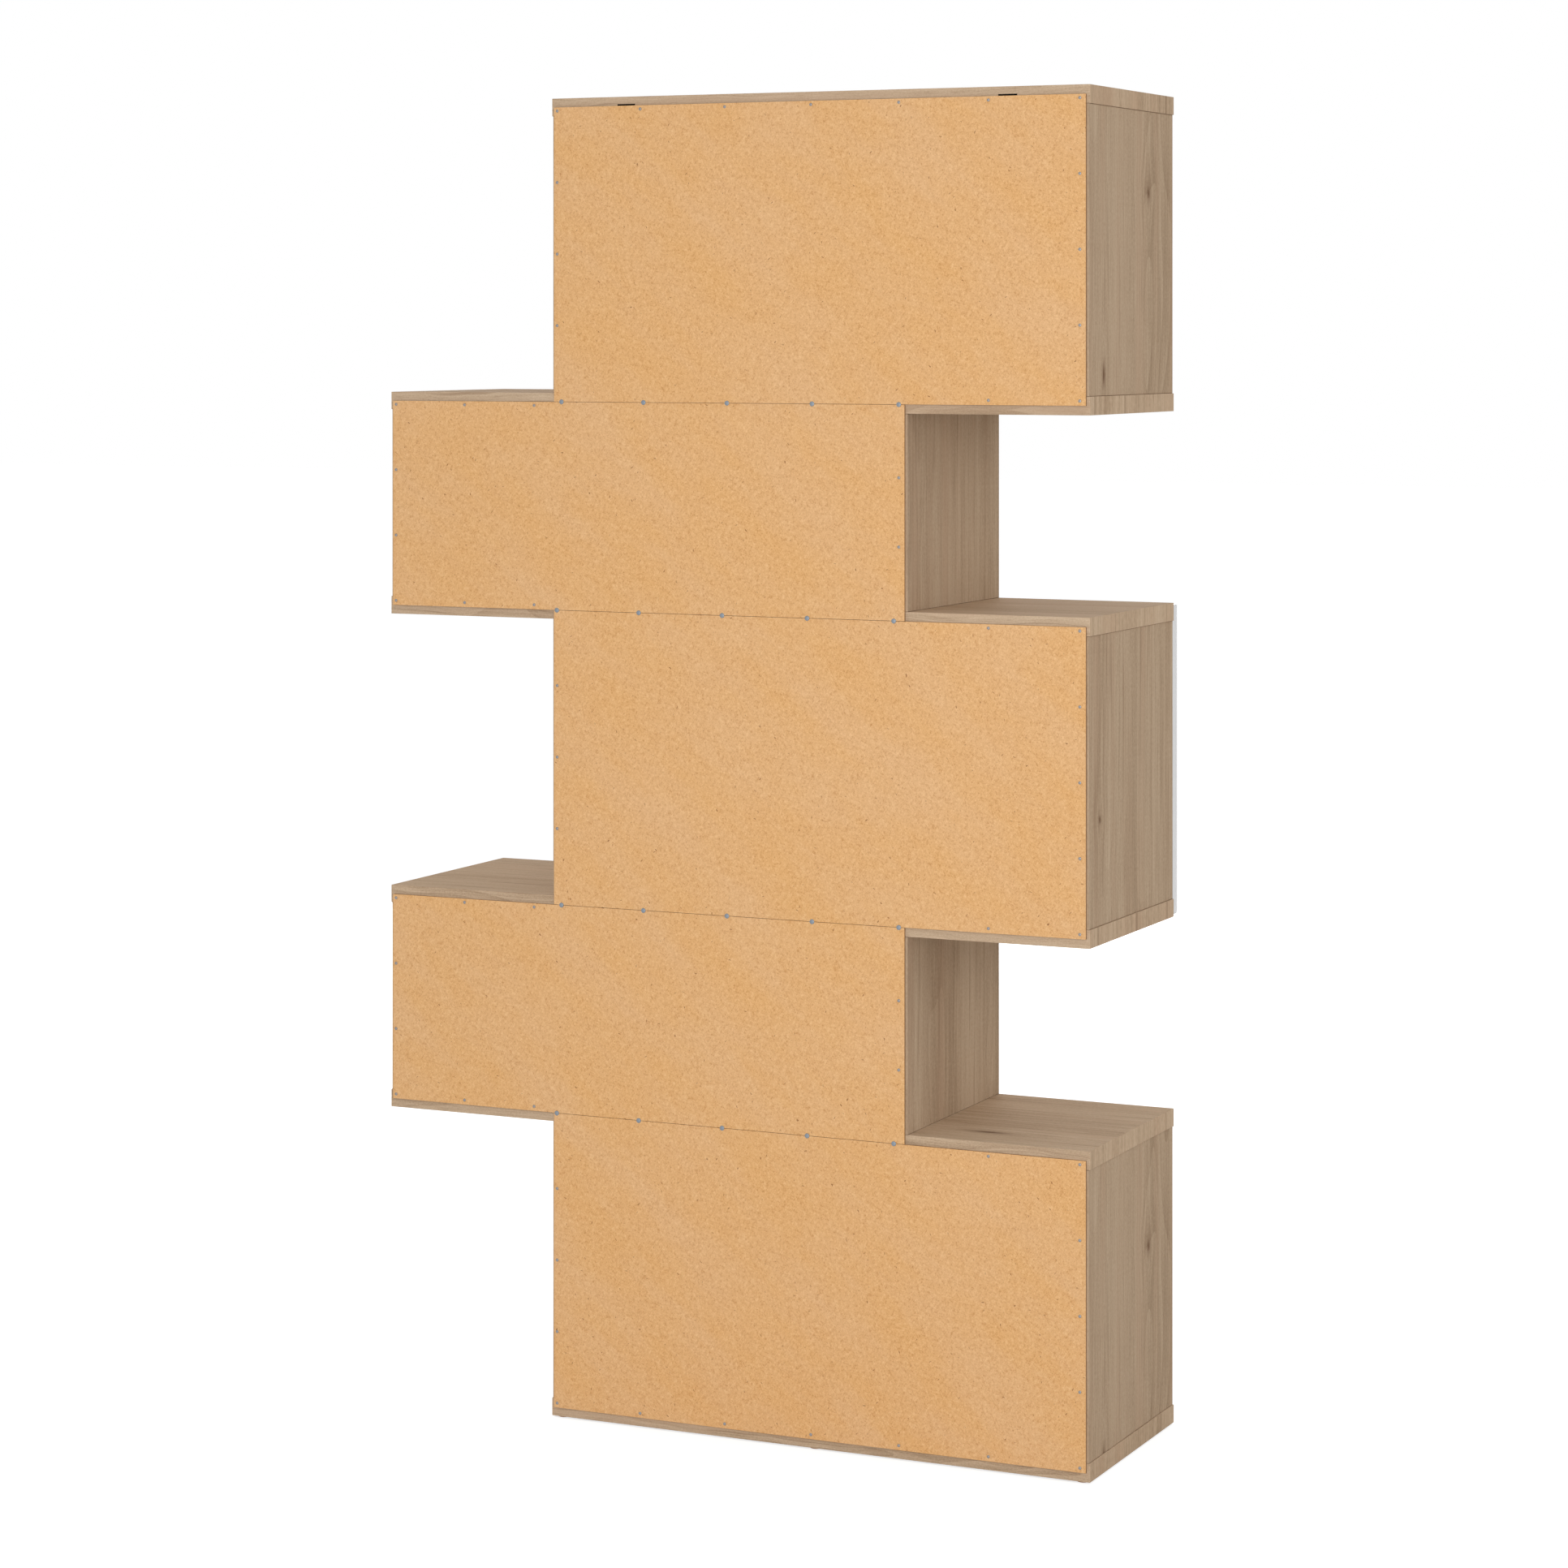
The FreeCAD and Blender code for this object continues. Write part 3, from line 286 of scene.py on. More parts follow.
def fibreboard_material():
    """Bare hard fibreboard: soft slanting clouds, fine pressed fibres, specks and short dark flecks."""
    shader = Shader("fibreboard")
    place = shader.object_place()
    slanted = shader.mapped(place, Rotation=(0, CLOUD_TURN, 0))
    cloud = shader.noise(shader.mapped(slanted, Scale=(5, 1, 16)), detail=3, roughness=0.6)
    mottle = shader.noise(place, scale=330, detail=4, roughness=0.75)
    fibres = []
    flecks = 0.0
    for angle in FLECK_ANGLES:
        turned = shader.mapped(place, Rotation=(0, angle, 0), Location=(angle, 0, angle))
        stretched = shader.mapped(turned, Scale=(230, 900, 1000))
        fibres.append((shader.noise(stretched, detail=1, distortion=0.6), 0.85))
        wander = shader.noise(turned, scale=140, detail=1)
        sway = shader.point(0.0, 0.0, shader.math("MULTIPLY", wander, 6 * MM))
        curved = shader.node("ShaderNodeVectorMath", {0: turned, 1: sway}, operation="ADD").outputs[0]
        cells = shader.node("ShaderNodeTexVoronoi",
                            {"Vector": shader.mapped(curved, Scale=(105, 0, 330)), "Scale": 1.0}).outputs
        chance = shader.node("ShaderNodeSeparateXYZ", {0: cells["Color"]}).outputs
        size = shader.total(-FLECK_SHARE * FLECK_GROWTH, [(chance[0], FLECK_GROWTH)])
        spot = shader.step(shader.math("SUBTRACT", size, cells["Distance"]), -0.03, 0.04)
        depth = shader.total(0.12, [(shader.math("POWER", chance[1], 2.0), 0.66)])
        flecks = shader.math("MAXIMUM", flecks, shader.math("MULTIPLY", spot, depth))
    speck_cells = shader.node("ShaderNodeTexVoronoi",
                              {"Vector": shader.mapped(place, Scale=(260, 0, 230)), "Scale": 1.0}).outputs
    speck_chance = shader.node("ShaderNodeSeparateXYZ", {0: speck_cells["Color"]}).outputs[0]
    speck_size = shader.total(-SPECK_SHARE, [(speck_chance, 1.0)])
    speck = shader.step(shader.math("SUBTRACT", speck_size, speck_cells["Distance"]), -0.12, 0.15)
    tone = shader.total(FIBRE_START, [(mottle, 0.9)] + fibres)
    colour = shader.mix(shader.step(cloud, 0.25, 0.75), BOARD_TAN, BOARD_PINK)
    colour = shader.mix(shader.math("MULTIPLY", shader.step(tone, 0.26, 0.7), 0.5), colour, BOARD_FIBRE)
    shade = shader.math("SUBTRACT", 1.0, shader.step(tone, -0.2, 0.3))
    colour = shader.mix(shader.math("MULTIPLY", shade, 0.58), colour, BOARD_SHADE)
    colour = shader.mix(shader.math("MULTIPLY", speck, 0.5), colour, BOARD_SHADE)
    colour = shader.mix(flecks, colour, BOARD_FLECK)
    roughness = shader.total(0.6, [(mottle, 0.3)])
    relief = shader.total(tone, [(flecks, -1.5)])
    return shader.finish(Base_Color=colour, Roughness=roughness, Specular_IOR_Level=0.1,
                         Normal=shader.bump(relief, 0.4, 0.15 * MM))


def cut_edge_material():
    """Sawn edge of the fibreboard, darker than its face."""
    shader = Shader("fibreboard_edge")
    fuzz = shader.noise(shader.object_place(), scale=700, detail=3)
    dark = tuple(0.8 * level for level in BOARD_EDGE[:3]) + (1.0,)
    colour = shader.ramp(fuzz, [(0.3, dark), (0.7, BOARD_EDGE)])
    return shader.finish(Base_Color=colour, Roughness=shader.total(0.75, [(fuzz, 0.2)]),
                         Specular_IOR_Level=0.05, Normal=shader.bump(fuzz, 0.3, 0.1 * MM))


# Smaller materials

def lacquer_material():
    """White lacquer with a little orange peel."""
    shader = Shader("white_lacquer")
    place = shader.object_place()
    peel = shader.noise(place, scale=500, detail=1)
    haze = shader.noise(place, scale=6, detail=3)
    colour = shader.mix(haze, LACQUER_DULL, LACQUER_WHITE)
    return shader.finish(Base_Color=colour, Roughness=shader.total(0.32, [(haze, 0.12)]), Coat_Weight=0.3,
                         Coat_Roughness=0.15, Normal=shader.bump(peel, 0.06, 0.05 * MM))


def metal_material(name, colour, roughness, tint=0.8):
    """Plated metal with fine scratches and a cloudy finish."""
    shader = Shader(name)
    place = shader.object_place()
    cloud = shader.noise(place, scale=300, detail=3)
    fine = shader.noise(place, scale=2500, detail=2)
    dull = tuple(level * tint for level in colour[:3]) + (1.0,)
    finish = shader.total(roughness - 0.12, [(cloud, 0.16), (fine, 0.08)])
    return shader.finish(Base_Color=shader.mix(cloud, dull, colour), Metallic=1.0, Roughness=finish,
                         Normal=shader.bump(fine, 0.08, 0.02 * MM))


def plastic_material(name, colour, roughness, tint=0.88, specular=0.5):
    """Moulded plastic with a fine spark-eroded grain."""
    shader = Shader(name)
    place = shader.object_place()
    cloud = shader.noise(place, scale=60, detail=3)
    grain = shader.noise(place, scale=1800, detail=2)
    deep = tuple(level * tint for level in colour[:3]) + (1.0,)
    return shader.finish(Base_Color=shader.mix(cloud, deep, colour), Specular_IOR_Level=specular,
                         Roughness=shader.total(roughness - 0.08, [(grain, 0.16)]),
                         Normal=shader.bump(grain, 0.15, 0.03 * MM))


def beech_material():
    """Pale straight-grained beech for the dowels."""
    shader = Shader("beech")
    grain = shader.noise(shader.mapped(shader.object_place(), Scale=(900, 900, 60)), detail=2)
    colour = shader.ramp(grain, [(0.3, BEECH_DARK), (0.7, BEECH_LIGHT)])
    return shader.finish(Base_Color=colour, Roughness=shader.total(0.5, [(grain, 0.2)]),
                         Normal=shader.bump(grain, 0.2, 0.05 * MM))


OAK = oak_material("oak_laminate", 1.0, contrast=0.9)
# The boards and their front and rear edges are the same laminate as the sides; their gains of 1.13 and 1.1
# are painted light
OAK_BOARD_LIT = oak_material("oak_laminate_board_painted_light", 1.13, contrast=0.8)
OAK_EDGE_LIT = oak_material("oak_laminate_edge_painted_light", 1.1, sway=24 * MM, sway_rate=6.0, contrast=1.1, banding=0.2)
OAK_SEAM_SHADE = seam_shade_material()
FIBREBOARD = fibreboard_material()
CUT_EDGE = cut_edge_material()
LACQUER = lacquer_material()
NAIL_STEEL = metal_material("nail_steel", srgb(150, 147, 145), 0.5)
SCREW_STEEL = metal_material("screw_steel", srgb(139, 146, 153), 0.52)
ZINC = metal_material("zinc", srgb(168, 170, 174), 0.5)
NICKEL = metal_material("nickel", srgb(198, 195, 190), 0.38)
BEECH = beech_material()
BLACK_STEEL = plastic_material("black_steel", srgb(6, 6, 6), 0.9, specular=0.1)
BROWN_PLASTIC = plastic_material("brown_plastic", srgb(170, 112, 62), 0.5)
GREY_PLASTIC = plastic_material("grey_plastic", srgb(196, 197, 198), 0.45)
CLEAR_RUBBER = plastic_material("clear_rubber", srgb(222, 222, 218), 0.35)


# Meshes

def placed(place, across, along, out):
    """A transform that stands local X, Y and Z along three directions at a place."""
    turn = Matrix((across, along, out)).transposed().to_4x4()
    return Matrix.Translation(place) @ turn


def aim(place, direction):
    """A transform that stands local +Z along a direction at a place."""
    turn = UP.rotation_difference(Vector(direction)).to_matrix().to_4x4()
    return Matrix.Translation(place) @ turn


def add_lathe(mesh, profile, transform, segments, flutes=0, flute_share=0.0):
    """A solid of revolution about local +Z, plain or fluted, from a profile with both ends on the axis."""
    rings = []
    for radius, height in profile:
        count = segments if radius > 0 else 1
        ring = []
        for step in range(count):
            turn = math.tau * step / count
            reach = radius * (1 - flute_share * (0.5 - 0.5 * math.cos(flutes * turn)))
            corner = Vector((reach * math.cos(turn), reach * math.sin(turn), height))
            ring.append(mesh.verts.new(transform @ corner))
        rings.append(ring)
    for lower, upper in zip(rings, rings[1:]):
        for step in range(segments):
            corners = [lower[step % len(lower)], lower[(step + 1) % len(lower)],
                       upper[(step + 1) % len(upper)], upper[step % len(upper)]]
            mesh.faces.new(list(dict.fromkeys(corners)))


def add_box(mesh, low, high, bevel, segments=2):
    """A box with rounded edges, between two corners."""
    middle = (low + high) / 2
    place = Matrix.Translation(middle) @ Matrix.Diagonal((*(high - low), 1.0))
    made = bmesh.ops.create_cube(mesh, size=1.0, matrix=place)
    edges = list({edge for corner in made["verts"] for edge in corner.link_edges})
    if bevel:
        bmesh.ops.bevel(mesh, geom=edges, offset=bevel, segments=segments, profile=0.5, affect="EDGES")


def add_plate(mesh, outline, transform, thickness, bevel=0.0):
    """A plate from an outline in local X and Y, thick along local +Z, with rounded rims."""
    lower = [mesh.verts.new(transform @ Vector((x, y, 0))) for x, y in outline]
    upper = [mesh.verts.new(transform @ Vector((x, y, thickness))) for x, y in outline]
    caps = [mesh.faces.new(lower[::-1]), mesh.faces.new(upper)]
    for step in range(len(outline)):
        following = (step + 1) % len(outline)
        mesh.faces.new([lower[step], lower[following], upper[following], upper[step]])
    if bevel:
        rims = [edge for cap in caps for edge in cap.edges]
        bmesh.ops.bevel(mesh, geom=rims, offset=bevel, segments=2, profile=0.5, affect="EDGES")


def stadium(start, end, radius, steps=12):
    """Outline of a strip with round ends about two points."""
    heading = math.atan2(end[1] - start[1], end[0] - start[0])
    outline = []
    for middle, first in ((end, heading - math.pi / 2), (start, heading + math.pi / 2)):
        for step in range(steps + 1):
            turn = first + math.pi * step / steps
            outline.append((middle[0] + radius * math.cos(turn), middle[1] + radius * math.sin(turn)))
    return outline


def cross_outline(reach, half_width):
    """Outline of a plain cross."""
    quarter = [(reach, -half_width), (reach, half_width), (half_width, half_width)]
    outline = []
    for turn in range(4):
        outline += quarter
        quarter = [(-y, x) for x, y in quarter]
    return outline


def rod_profile(radius, length, ease=0.0):
    """Profile of a plain rod from zero height, with eased ends."""
    return [(0, 0), (radius - ease, 0), (radius, ease), (radius, length - ease), (radius - ease, length),
            (0, length)]


def carved(base, tool, operation="DIFFERENCE"):
    """A solid with another taken out of it, or joined to it."""
    holders = []
    for mesh in (base, tool):
        data = bpy.data.meshes.new("carving")
        bmesh.ops.recalc_face_normals(mesh, faces=mesh.faces)
        mesh.to_mesh(data)
        mesh.free()
        holder = bpy.data.objects.new("carving", data)
        bpy.context.scene.collection.objects.link(holder)
        holders.append(holder)
    modifier = holders[0].modifiers.new("carving", "BOOLEAN")
    modifier.object = holders[1]
    modifier.operation = operation
    modifier.solver = "EXACT"
    made = bpy.data.meshes.new_from_object(holders[0].evaluated_get(bpy.context.evaluated_depsgraph_get()))
    result = bmesh.new()
    result.from_mesh(made)
    for data in [holder.data for holder in holders] + [made]:
        bpy.data.meshes.remove(data)
    return result


def add_copies(mesh, master, transforms):
    """Copies of a master solid, which is used up."""
    data = bpy.data.meshes.new("master")
    master.to_mesh(data)
    master.free()
    for transform in transforms:
        count = len(mesh.verts)
        mesh.from_mesh(data)
        mesh.verts.ensure_lookup_table()
        bmesh.ops.transform(mesh, matrix=transform, verts=mesh.verts[count:])
    bpy.data.meshes.remove(data)


def make_piece(mesh, name, body, node, materials, crease=35):
    """Turn a bmesh into the piece that stands for a CAD node, with smooth faces between creases."""
    data = bpy.data.meshes.new(name)
    bmesh.ops.recalc_face_normals(mesh, faces=mesh.faces)
    for face in mesh.faces:
        face.smooth = True
    mesh.to_mesh(data)
    mesh.free()
    data.set_sharp_from_angle(angle=math.radians(crease))
    piece = bpy.data.objects.new(name, data)
    bpy.context.scene.collection.objects.link(piece)
    for material in materials:
        data.materials.append(material)
    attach(piece, body)
    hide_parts(node)


def islands(node):
    """Points of each separate solid in a CAD node."""
    mesh = bmesh.new()
    mesh.from_mesh(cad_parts[node].data)
    bmesh.ops.remove_doubles(mesh, verts=mesh.verts, dist=WELD)
    waiting = set(mesh.verts)
    groups = []
    for seed in mesh.verts:
        if seed not in waiting:
            continue
        waiting.discard(seed)
        group = [seed]
        for vertex in group:
            for edge in vertex.link_edges:
                other = edge.other_vert(vertex)
                if other in waiting:
                    waiting.discard(other)
                    group.append(other)
        groups.append([vertex.co.copy() for vertex in group])
    mesh.free()
    return groups


def extent(points):
    """Lowest and highest corner of some points."""
    return (Vector([min(point[axis] for point in points) for axis in range(3)]),
            Vector([max(point[axis] for point in points) for axis in range(3)]))


def middles(node):
    """Middle of each separate solid in a CAD node."""
    return [sum(extent(points), Vector()) / 2 for points in islands(node)]


def far_end(points, direction):
    """Middle of a solid's end face in a direction."""
    reach = max(point.dot(direction) for point in points)
    face = [point for point in points if reach - point.dot(direction) < WELD]
    return sum(face, Vector()) / len(face)


# Cam locks: the middle of each face, the way that it looks and the way to the bolt

CAM_SETBACK = 24 * MM
CAM_RADIUS = 7.5 * MM
CAM_DEPTH = 12.5 * MM
CAM_EASE = 0.4 * MM
CAM_MOUTH_RADIUS = 3.1 * MM
CAM_RECESS_DEPTH = 2 * MM
CAM_SEGMENTS = 32
MOUTH_SEGMENTS = 16
BOLT_AXIS_DEPTH = 8 * MM
FIT = 0.2 * MM


def cam_places():
    """Place, outlook and bolt direction of every cam, by the side panel that holds it."""
    places = {side: [] for side in SIDES}
    for points in islands("cam_locks"):
        low, high = extent(points)
        middle = (low + high) / 2
        for side in SIDES:
            side_low, side_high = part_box(side)
            if not all(side_low[axis] < middle[axis] < side_high[axis] for axis in range(3)):
                continue
            looks_right = side_high.x - high.x < low.x - side_low.x
            is_top = middle.z > (side_low.z + side_high.z) / 2
            height = side_high.z - CAM_SETBACK if is_top else side_low.z + CAM_SETBACK
            place = Vector((high.x if looks_right else low.x, middle.y, height))
            places[side].append((place, RIGHTWARD if looks_right else -RIGHTWARD, UP if is_top else -UP))
    return places


CAMS = cam_places()

# Boards and sides, with the print laid along each face. The print's scales are for a board's ends, long
# edges and faces.
EDGE_ROUND = 0.5 * MM
FREE_PRINT_START = 20.0
FREE_PRINT_SPAN = 40.0
BOARD_PRINT_SCALES = (0.6, 1.7, 1.0)
draws = random.Random(SEED)

# How much of a face's normal lies along an axis
SQUARE_ON = 0.99
FACING = 0.7
PARTLY_FACING = 0.3
TILTED = 0.1

# Faces whose print is placed: the piece, the face's axis and side, and the print's place there
PLACED_PRINTS = {
    ("tier_5_left_side", 0, -1): (-1.2668, 0.0),
    ("tier_1_left_side", 0, -1): (0.0067, 0.0),
    ("tier_3_left_side", 0, -1): (8.2298, -0.1168),
    ("shelf_1", 2, 1): (5.3197, -0.0953),
}


def lay_print(mesh, name, is_board):
    """Give each face its place on the print, in metres along and across the grain."""
    layer = mesh.loops.layers.uv.new("print")
    shifts = {}
    for axis in range(3):
        for sign in (-1, 1):
            free = (FREE_PRINT_START + FREE_PRINT_SPAN * draws.random(), draws.random())
            shifts[axis, sign] = PLACED_PRINTS.get((name, axis, sign), free)
    for face in mesh.faces:
        axis = max(range(3), key=lambda index: abs(face.normal[index]))
        sign = 1 if face.normal[axis] > 0 else -1
        if axis == 0:
            along, across = 2, 1
        elif is_board:
            along, across = 0, 3 - axis
        else:
            along, across = (2, 0) if axis == 1 else (1, 0)
        shift = shifts[axis, sign]
        scale = BOARD_PRINT_SCALES[axis] if is_board else 1.0
        for loop in face.loops:
            loop[layer].uv = (scale * loop.vert.co[along] + shift[0], scale * loop.vert.co[across] + shift[1])


def panel_tools(node):
    """What is carved out of a panel: cam pockets in the sides, anchor slots in the top panel."""
    tools = bmesh.new()
    for place, outlook, _ in CAMS.get(node, []):
        pocket = rod_profile(CAM_RADIUS, CAM_DEPTH + OVERRUN)
        add_lathe(tools, pocket, aim(place + outlook * OVERRUN, -outlook), CAM_SEGMENTS)
    if node == "top_panel":
        for points in islands("wall_anchors"):
            low, high = extent(points)
            room = Vector((FIT, FIT, FIT)) / 4
            add_box(tools, low - room, high + room + REARWARD * OVERRUN, 0)
    return tools


def make_panel(node):
    """A laminated board or side with eased edges. The rounded ends of a side carry a painted seam shadow."""
    is_board = node in BOARDS
    mesh = bmesh.new()
    add_box(mesh, *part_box(node), EDGE_ROUND)
    tools = panel_tools(node)
    if len(tools.verts):
        mesh = carved(mesh, tools)
    else:
        tools.free()
    mesh.normal_update()
    lay_print(mesh, node, is_board)
    for face in mesh.faces:
        if is_board:
            # Boards: the faces toward front and back take the edge print; both board prints are lighter
            # copies with painted light
            face.material_index = 1 if abs(face.normal.y) > FACING else 0
        else:
            # Sides: the rounded faces at their ends get the painted seam shadow
            face.material_index = 1 if TILTED < abs(face.normal.z) < SQUARE_ON else 0
    materials = (OAK_BOARD_LIT, OAK_EDGE_LIT) if is_board else (OAK, OAK_SEAM_SHADE)
    make_piece(mesh, f"{node}_panel", "carcass", node, materials, crease=15)


for node in BOARDS + SIDES:
    make_panel(node)

# Backs: bare fibreboard behind, oak foil on the face inside the boxes, sawn edges between
BACK_ROUND = 0.25 * MM
for tier in TIERS:
    node = f"backboard_{tier}"
    mesh = bmesh.new()
    add_box(mesh, *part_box(node), BACK_ROUND)
    mesh.normal_update()
    lay_print(mesh, node, False)
    for face in mesh.faces:
        face.material_index = 1 if face.normal.y < -SQUARE_ON else 0 if face.normal.y > PARTLY_FACING else 2
    make_piece(mesh, f"{node}_sheet", "carcass", node, (FIBREBOARD, OAK, CUT_EDGE), crease=15)


# Nails and screws. Sizes are the radius and height of the head, the radius of the shank and its length.
NAIL_SIZES = (1.9 * MM, 0.8 * MM, 0.75 * MM, 20 * MM)
SEAM_SCREW_SIZES = (3.0 * MM, 0.8 * MM, 1.3 * MM, 24 * MM)
WOOD_SCREW_SIZES = (3.4 * MM, 0.9 * MM, 1.6 * MM, 11 * MM)
NAIL_SEGMENTS = 20
SCREW_SEGMENTS = 24
SCREW_TURNS = 6


def dome(radius, height):
    """The upper profile of a low domed head, from its rim to the axis."""
    return [(radius, 0), (radius, 0.3 * height), (0.85 * radius, 0.72 * height),
            (0.45 * radius, 0.95 * height), (0, height)]


def nail_profile(head_radius, head_height, shank_radius, length):
    """A flat head with an eased rim over a plain pointed shank, with the seat at zero height."""
    return [(0, -length), (shank_radius, 2 * shank_radius - length), (shank_radius, 0), (head_radius, 0),
            (head_radius, 0.5 * head_height), (0.94 * head_radius, 0.85 * head_height),
            (0.84 * head_radius, head_height), (0, head_height)]


def thread(radius, depth, bottom, top, turns):
    """Profile of a screw thread as rings between two heights."""
    pitch = (top - bottom) / turns
    rings = []
    for turn in range(turns):
        rings += [(radius - depth, bottom + turn * pitch), (radius, bottom + (turn + 0.5) * pitch)]
    return rings


def screw_master(head_radius, head_height, shank_radius, length):
    """A pan-head screw with a cross recess and a threaded shank, with the seat at zero height."""
    bottom = 0.5 * shank_radius - length
    profile = [(0, -length)] + thread(shank_radius, 0.3 * shank_radius, bottom, 0, SCREW_TURNS)
    profile += [(shank_radius, 0)] + dome(head_radius, head_height)
    mesh = bmesh.new()
    add_lathe(mesh, profile, Matrix.Identity(4), SCREW_SEGMENTS)
    recess = bmesh.new()
    floor = Matrix.Translation((0, 0, 0.25 * head_height))
    add_plate(recess, cross_outline(0.6 * head_radius, 0.13 * head_radius), floor, head_height)
    return carved(mesh, recess)


back_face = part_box("backboard_1")[1].y


def make_back_fasteners(node, sizes, material):
    """Nails or screws whose heads seat on the backs."""
    mesh = bmesh.new()
    profile = nail_profile(*sizes)
    for points in islands(node):
        tip = far_end(points, REARWARD)
        add_lathe(mesh, profile, aim(Vector((tip.x, back_face, tip.z)), REARWARD), NAIL_SEGMENTS)
    make_piece(mesh, f"{node}_heads", "carcass", node, (material,))


for tier in TIERS:
    make_back_fasteners(f"back_nails_{tier}", NAIL_SIZES, NAIL_STEEL)
make_back_fasteners("seam_screws", SEAM_SCREW_SIZES, SCREW_STEEL)


def make_screws(node, body, direction, sizes):
    """Cross-head screws whose heads stand along a direction."""
    mesh = bmesh.new()
    head_height = sizes[1]
    seats = [far_end(points, direction) - direction * head_height for points in islands(node)]
    add_copies(mesh, screw_master(*sizes), [aim(seat, direction) for seat in seats])
    make_piece(mesh, f"{node}_heads", body, node, (SCREW_STEEL,))


# Wall anchor tongues, a hair proud of the rear edge
ANCHOR_PROUD = 0.3 * MM
mesh = bmesh.new()
for points in islands("wall_anchors"):
    low, high = extent(points)
    add_box(mesh, low, high + REARWARD * ANCHOR_PROUD, FIT)
make_piece(mesh, "wall_anchor_tongues", "carcass", "wall_anchors", (BLACK_STEEL,))

# Glides
GLIDE_RADIUS = 8 * MM
GLIDE_HEIGHT = 1.8 * MM
GLIDE_PIN_RADIUS = 1.2 * MM
GLIDE_SEGMENTS = 32
GLIDE = [(0, 0), (6.2 * MM, 0), (7.5 * MM, 0.4 * MM), (GLIDE_RADIUS, 1.0 * MM), (GLIDE_RADIUS, GLIDE_HEIGHT),
         (GLIDE_PIN_RADIUS, GLIDE_HEIGHT), (GLIDE_PIN_RADIUS, 13 * MM), (0, 13.8 * MM)]
mesh = bmesh.new()
for points in islands("floor_glides"):
    add_lathe(mesh, GLIDE, aim(far_end(points, -UP), UP), GLIDE_SEGMENTS)
make_piece(mesh, "floor_glide_buttons", "carcass", "floor_glides", (BROWN_PLASTIC,))


# Cams with a cross recess and a mouth for the bolt, then the bolts and dowels

def cam_master():
    """A cam whose face looks along local +Z at zero height and whose mouth opens along local +X."""
    radius = CAM_RADIUS - FIT
    depth = CAM_DEPTH - FIT
    mesh = bmesh.new()
    add_lathe(mesh, rod_profile(radius, depth, CAM_EASE), Matrix.Translation((0, 0, -depth)), CAM_SEGMENTS)
    mouth = bmesh.new()
    add_lathe(mouth, rod_profile(CAM_MOUTH_RADIUS, radius + OVERRUN),
              aim(Vector((0, 0, -BOLT_AXIS_DEPTH)), RIGHTWARD), MOUTH_SEGMENTS)
    recess = bmesh.new()
    add_plate(recess, cross_outline(0.66 * radius, 0.14 * radius),
              Matrix.Translation((0, 0, -CAM_RECESS_DEPTH)), CAM_RECESS_DEPTH + OVERRUN)
    return carved(carved(mesh, mouth), recess)


mesh = bmesh.new()
cam_transforms = [placed(place, to_bolt, outlook.cross(to_bolt), outlook)
                  for cams in CAMS.values() for place, outlook, to_bolt in cams]
add_copies(mesh, cam_master(), cam_transforms)
make_piece(mesh, "cam_lock_drums", "carcass", "cam_locks", (ZINC,))

BOLT_RADIUS = 2.9 * MM
BOLT_WAIST = 1.6 * MM
BOLT_THREAD = 11 * MM
THREAD_DEPTH = 0.6 * MM
THREAD_TURNS = 7
BOLT_SEGMENTS = 14
BOLT = ([(0, -CAM_SETBACK), (2.3 * MM, -CAM_SETBACK), (BOLT_RADIUS, 1 * MM - CAM_SETBACK),
         (BOLT_RADIUS, 2.6 * MM - CAM_SETBACK), (BOLT_WAIST, 3.4 * MM - CAM_SETBACK),
         (BOLT_WAIST, 6 * MM - CAM_SETBACK), (BOLT_RADIUS, 6.6 * MM - CAM_SETBACK)]
        + thread(BOLT_RADIUS, THREAD_DEPTH, 0, BOLT_THREAD, THREAD_TURNS) + [(0, BOLT_THREAD)])
mesh = bmesh.new()
for cams in CAMS.values():
    for place, outlook, to_bolt in cams:
        foot = place - outlook * BOLT_AXIS_DEPTH + to_bolt * CAM_SETBACK
        add_lathe(mesh, BOLT, aim(foot, to_bolt), BOLT_SEGMENTS)
make_piece(mesh, "cam_bolt_shanks", "carcass", "cam_bolts", (SCREW_STEEL,))

DOWEL_RADIUS = 4 * MM
DOWEL_LENGTH = 32 * MM
DOWEL_EASE = 1.2 * MM
DOWEL_FLUTES = 12
FLUTE_SHARE = 0.08
DOWEL_SEGMENTS = 48
DOWEL = rod_profile(DOWEL_RADIUS, DOWEL_LENGTH, DOWEL_EASE)
mesh = bmesh.new()
for middle in middles("dowels"):
    add_lathe(mesh, DOWEL, aim(middle - UP * DOWEL_LENGTH / 2, UP), DOWEL_SEGMENTS, flutes=DOWEL_FLUTES,
              flute_share=FLUTE_SHARE)
make_piece(mesh, "dowel_pegs", "carcass", "dowels", (BEECH,))

# Doors with eased edges and bores for the hinge cups
DOOR_ROUND = 0.8 * MM
CUP_RADIUS = 17.4 * MM
CUP_DEPTH = 11.5 * MM
BORE_SEGMENTS = 64


def make_door(hand):
    """A plain lacquered slab, bored behind for its two hinge cups."""
    low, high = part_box(f"{hand}_door")
    mesh = bmesh.new()
    add_box(mesh, low, high, DOOR_ROUND, segments=3)
    bores = bmesh.new()
    for middle in middles(f"{hand}_hinge_cups"):
        mouth = Vector((middle.x, high.y + OVERRUN, middle.z))
        bore = rod_profile(CUP_RADIUS + FIT, CUP_DEPTH + FIT + OVERRUN)
        add_lathe(bores, bore, aim(mouth, -REARWARD), BORE_SEGMENTS)
    make_piece(carved(mesh, bores), f"{hand}_door_slab", f"{hand}_door", f"{hand}_door",
               (LACQUER,), crease=15)


BUMPER_RADIUS = 4 * MM
BUMPER_HEIGHT = 1.4 * MM
BUMPER_SEGMENTS = 28
BUMPER = [(0, 0)] + dome(BUMPER_RADIUS, BUMPER_HEIGHT)


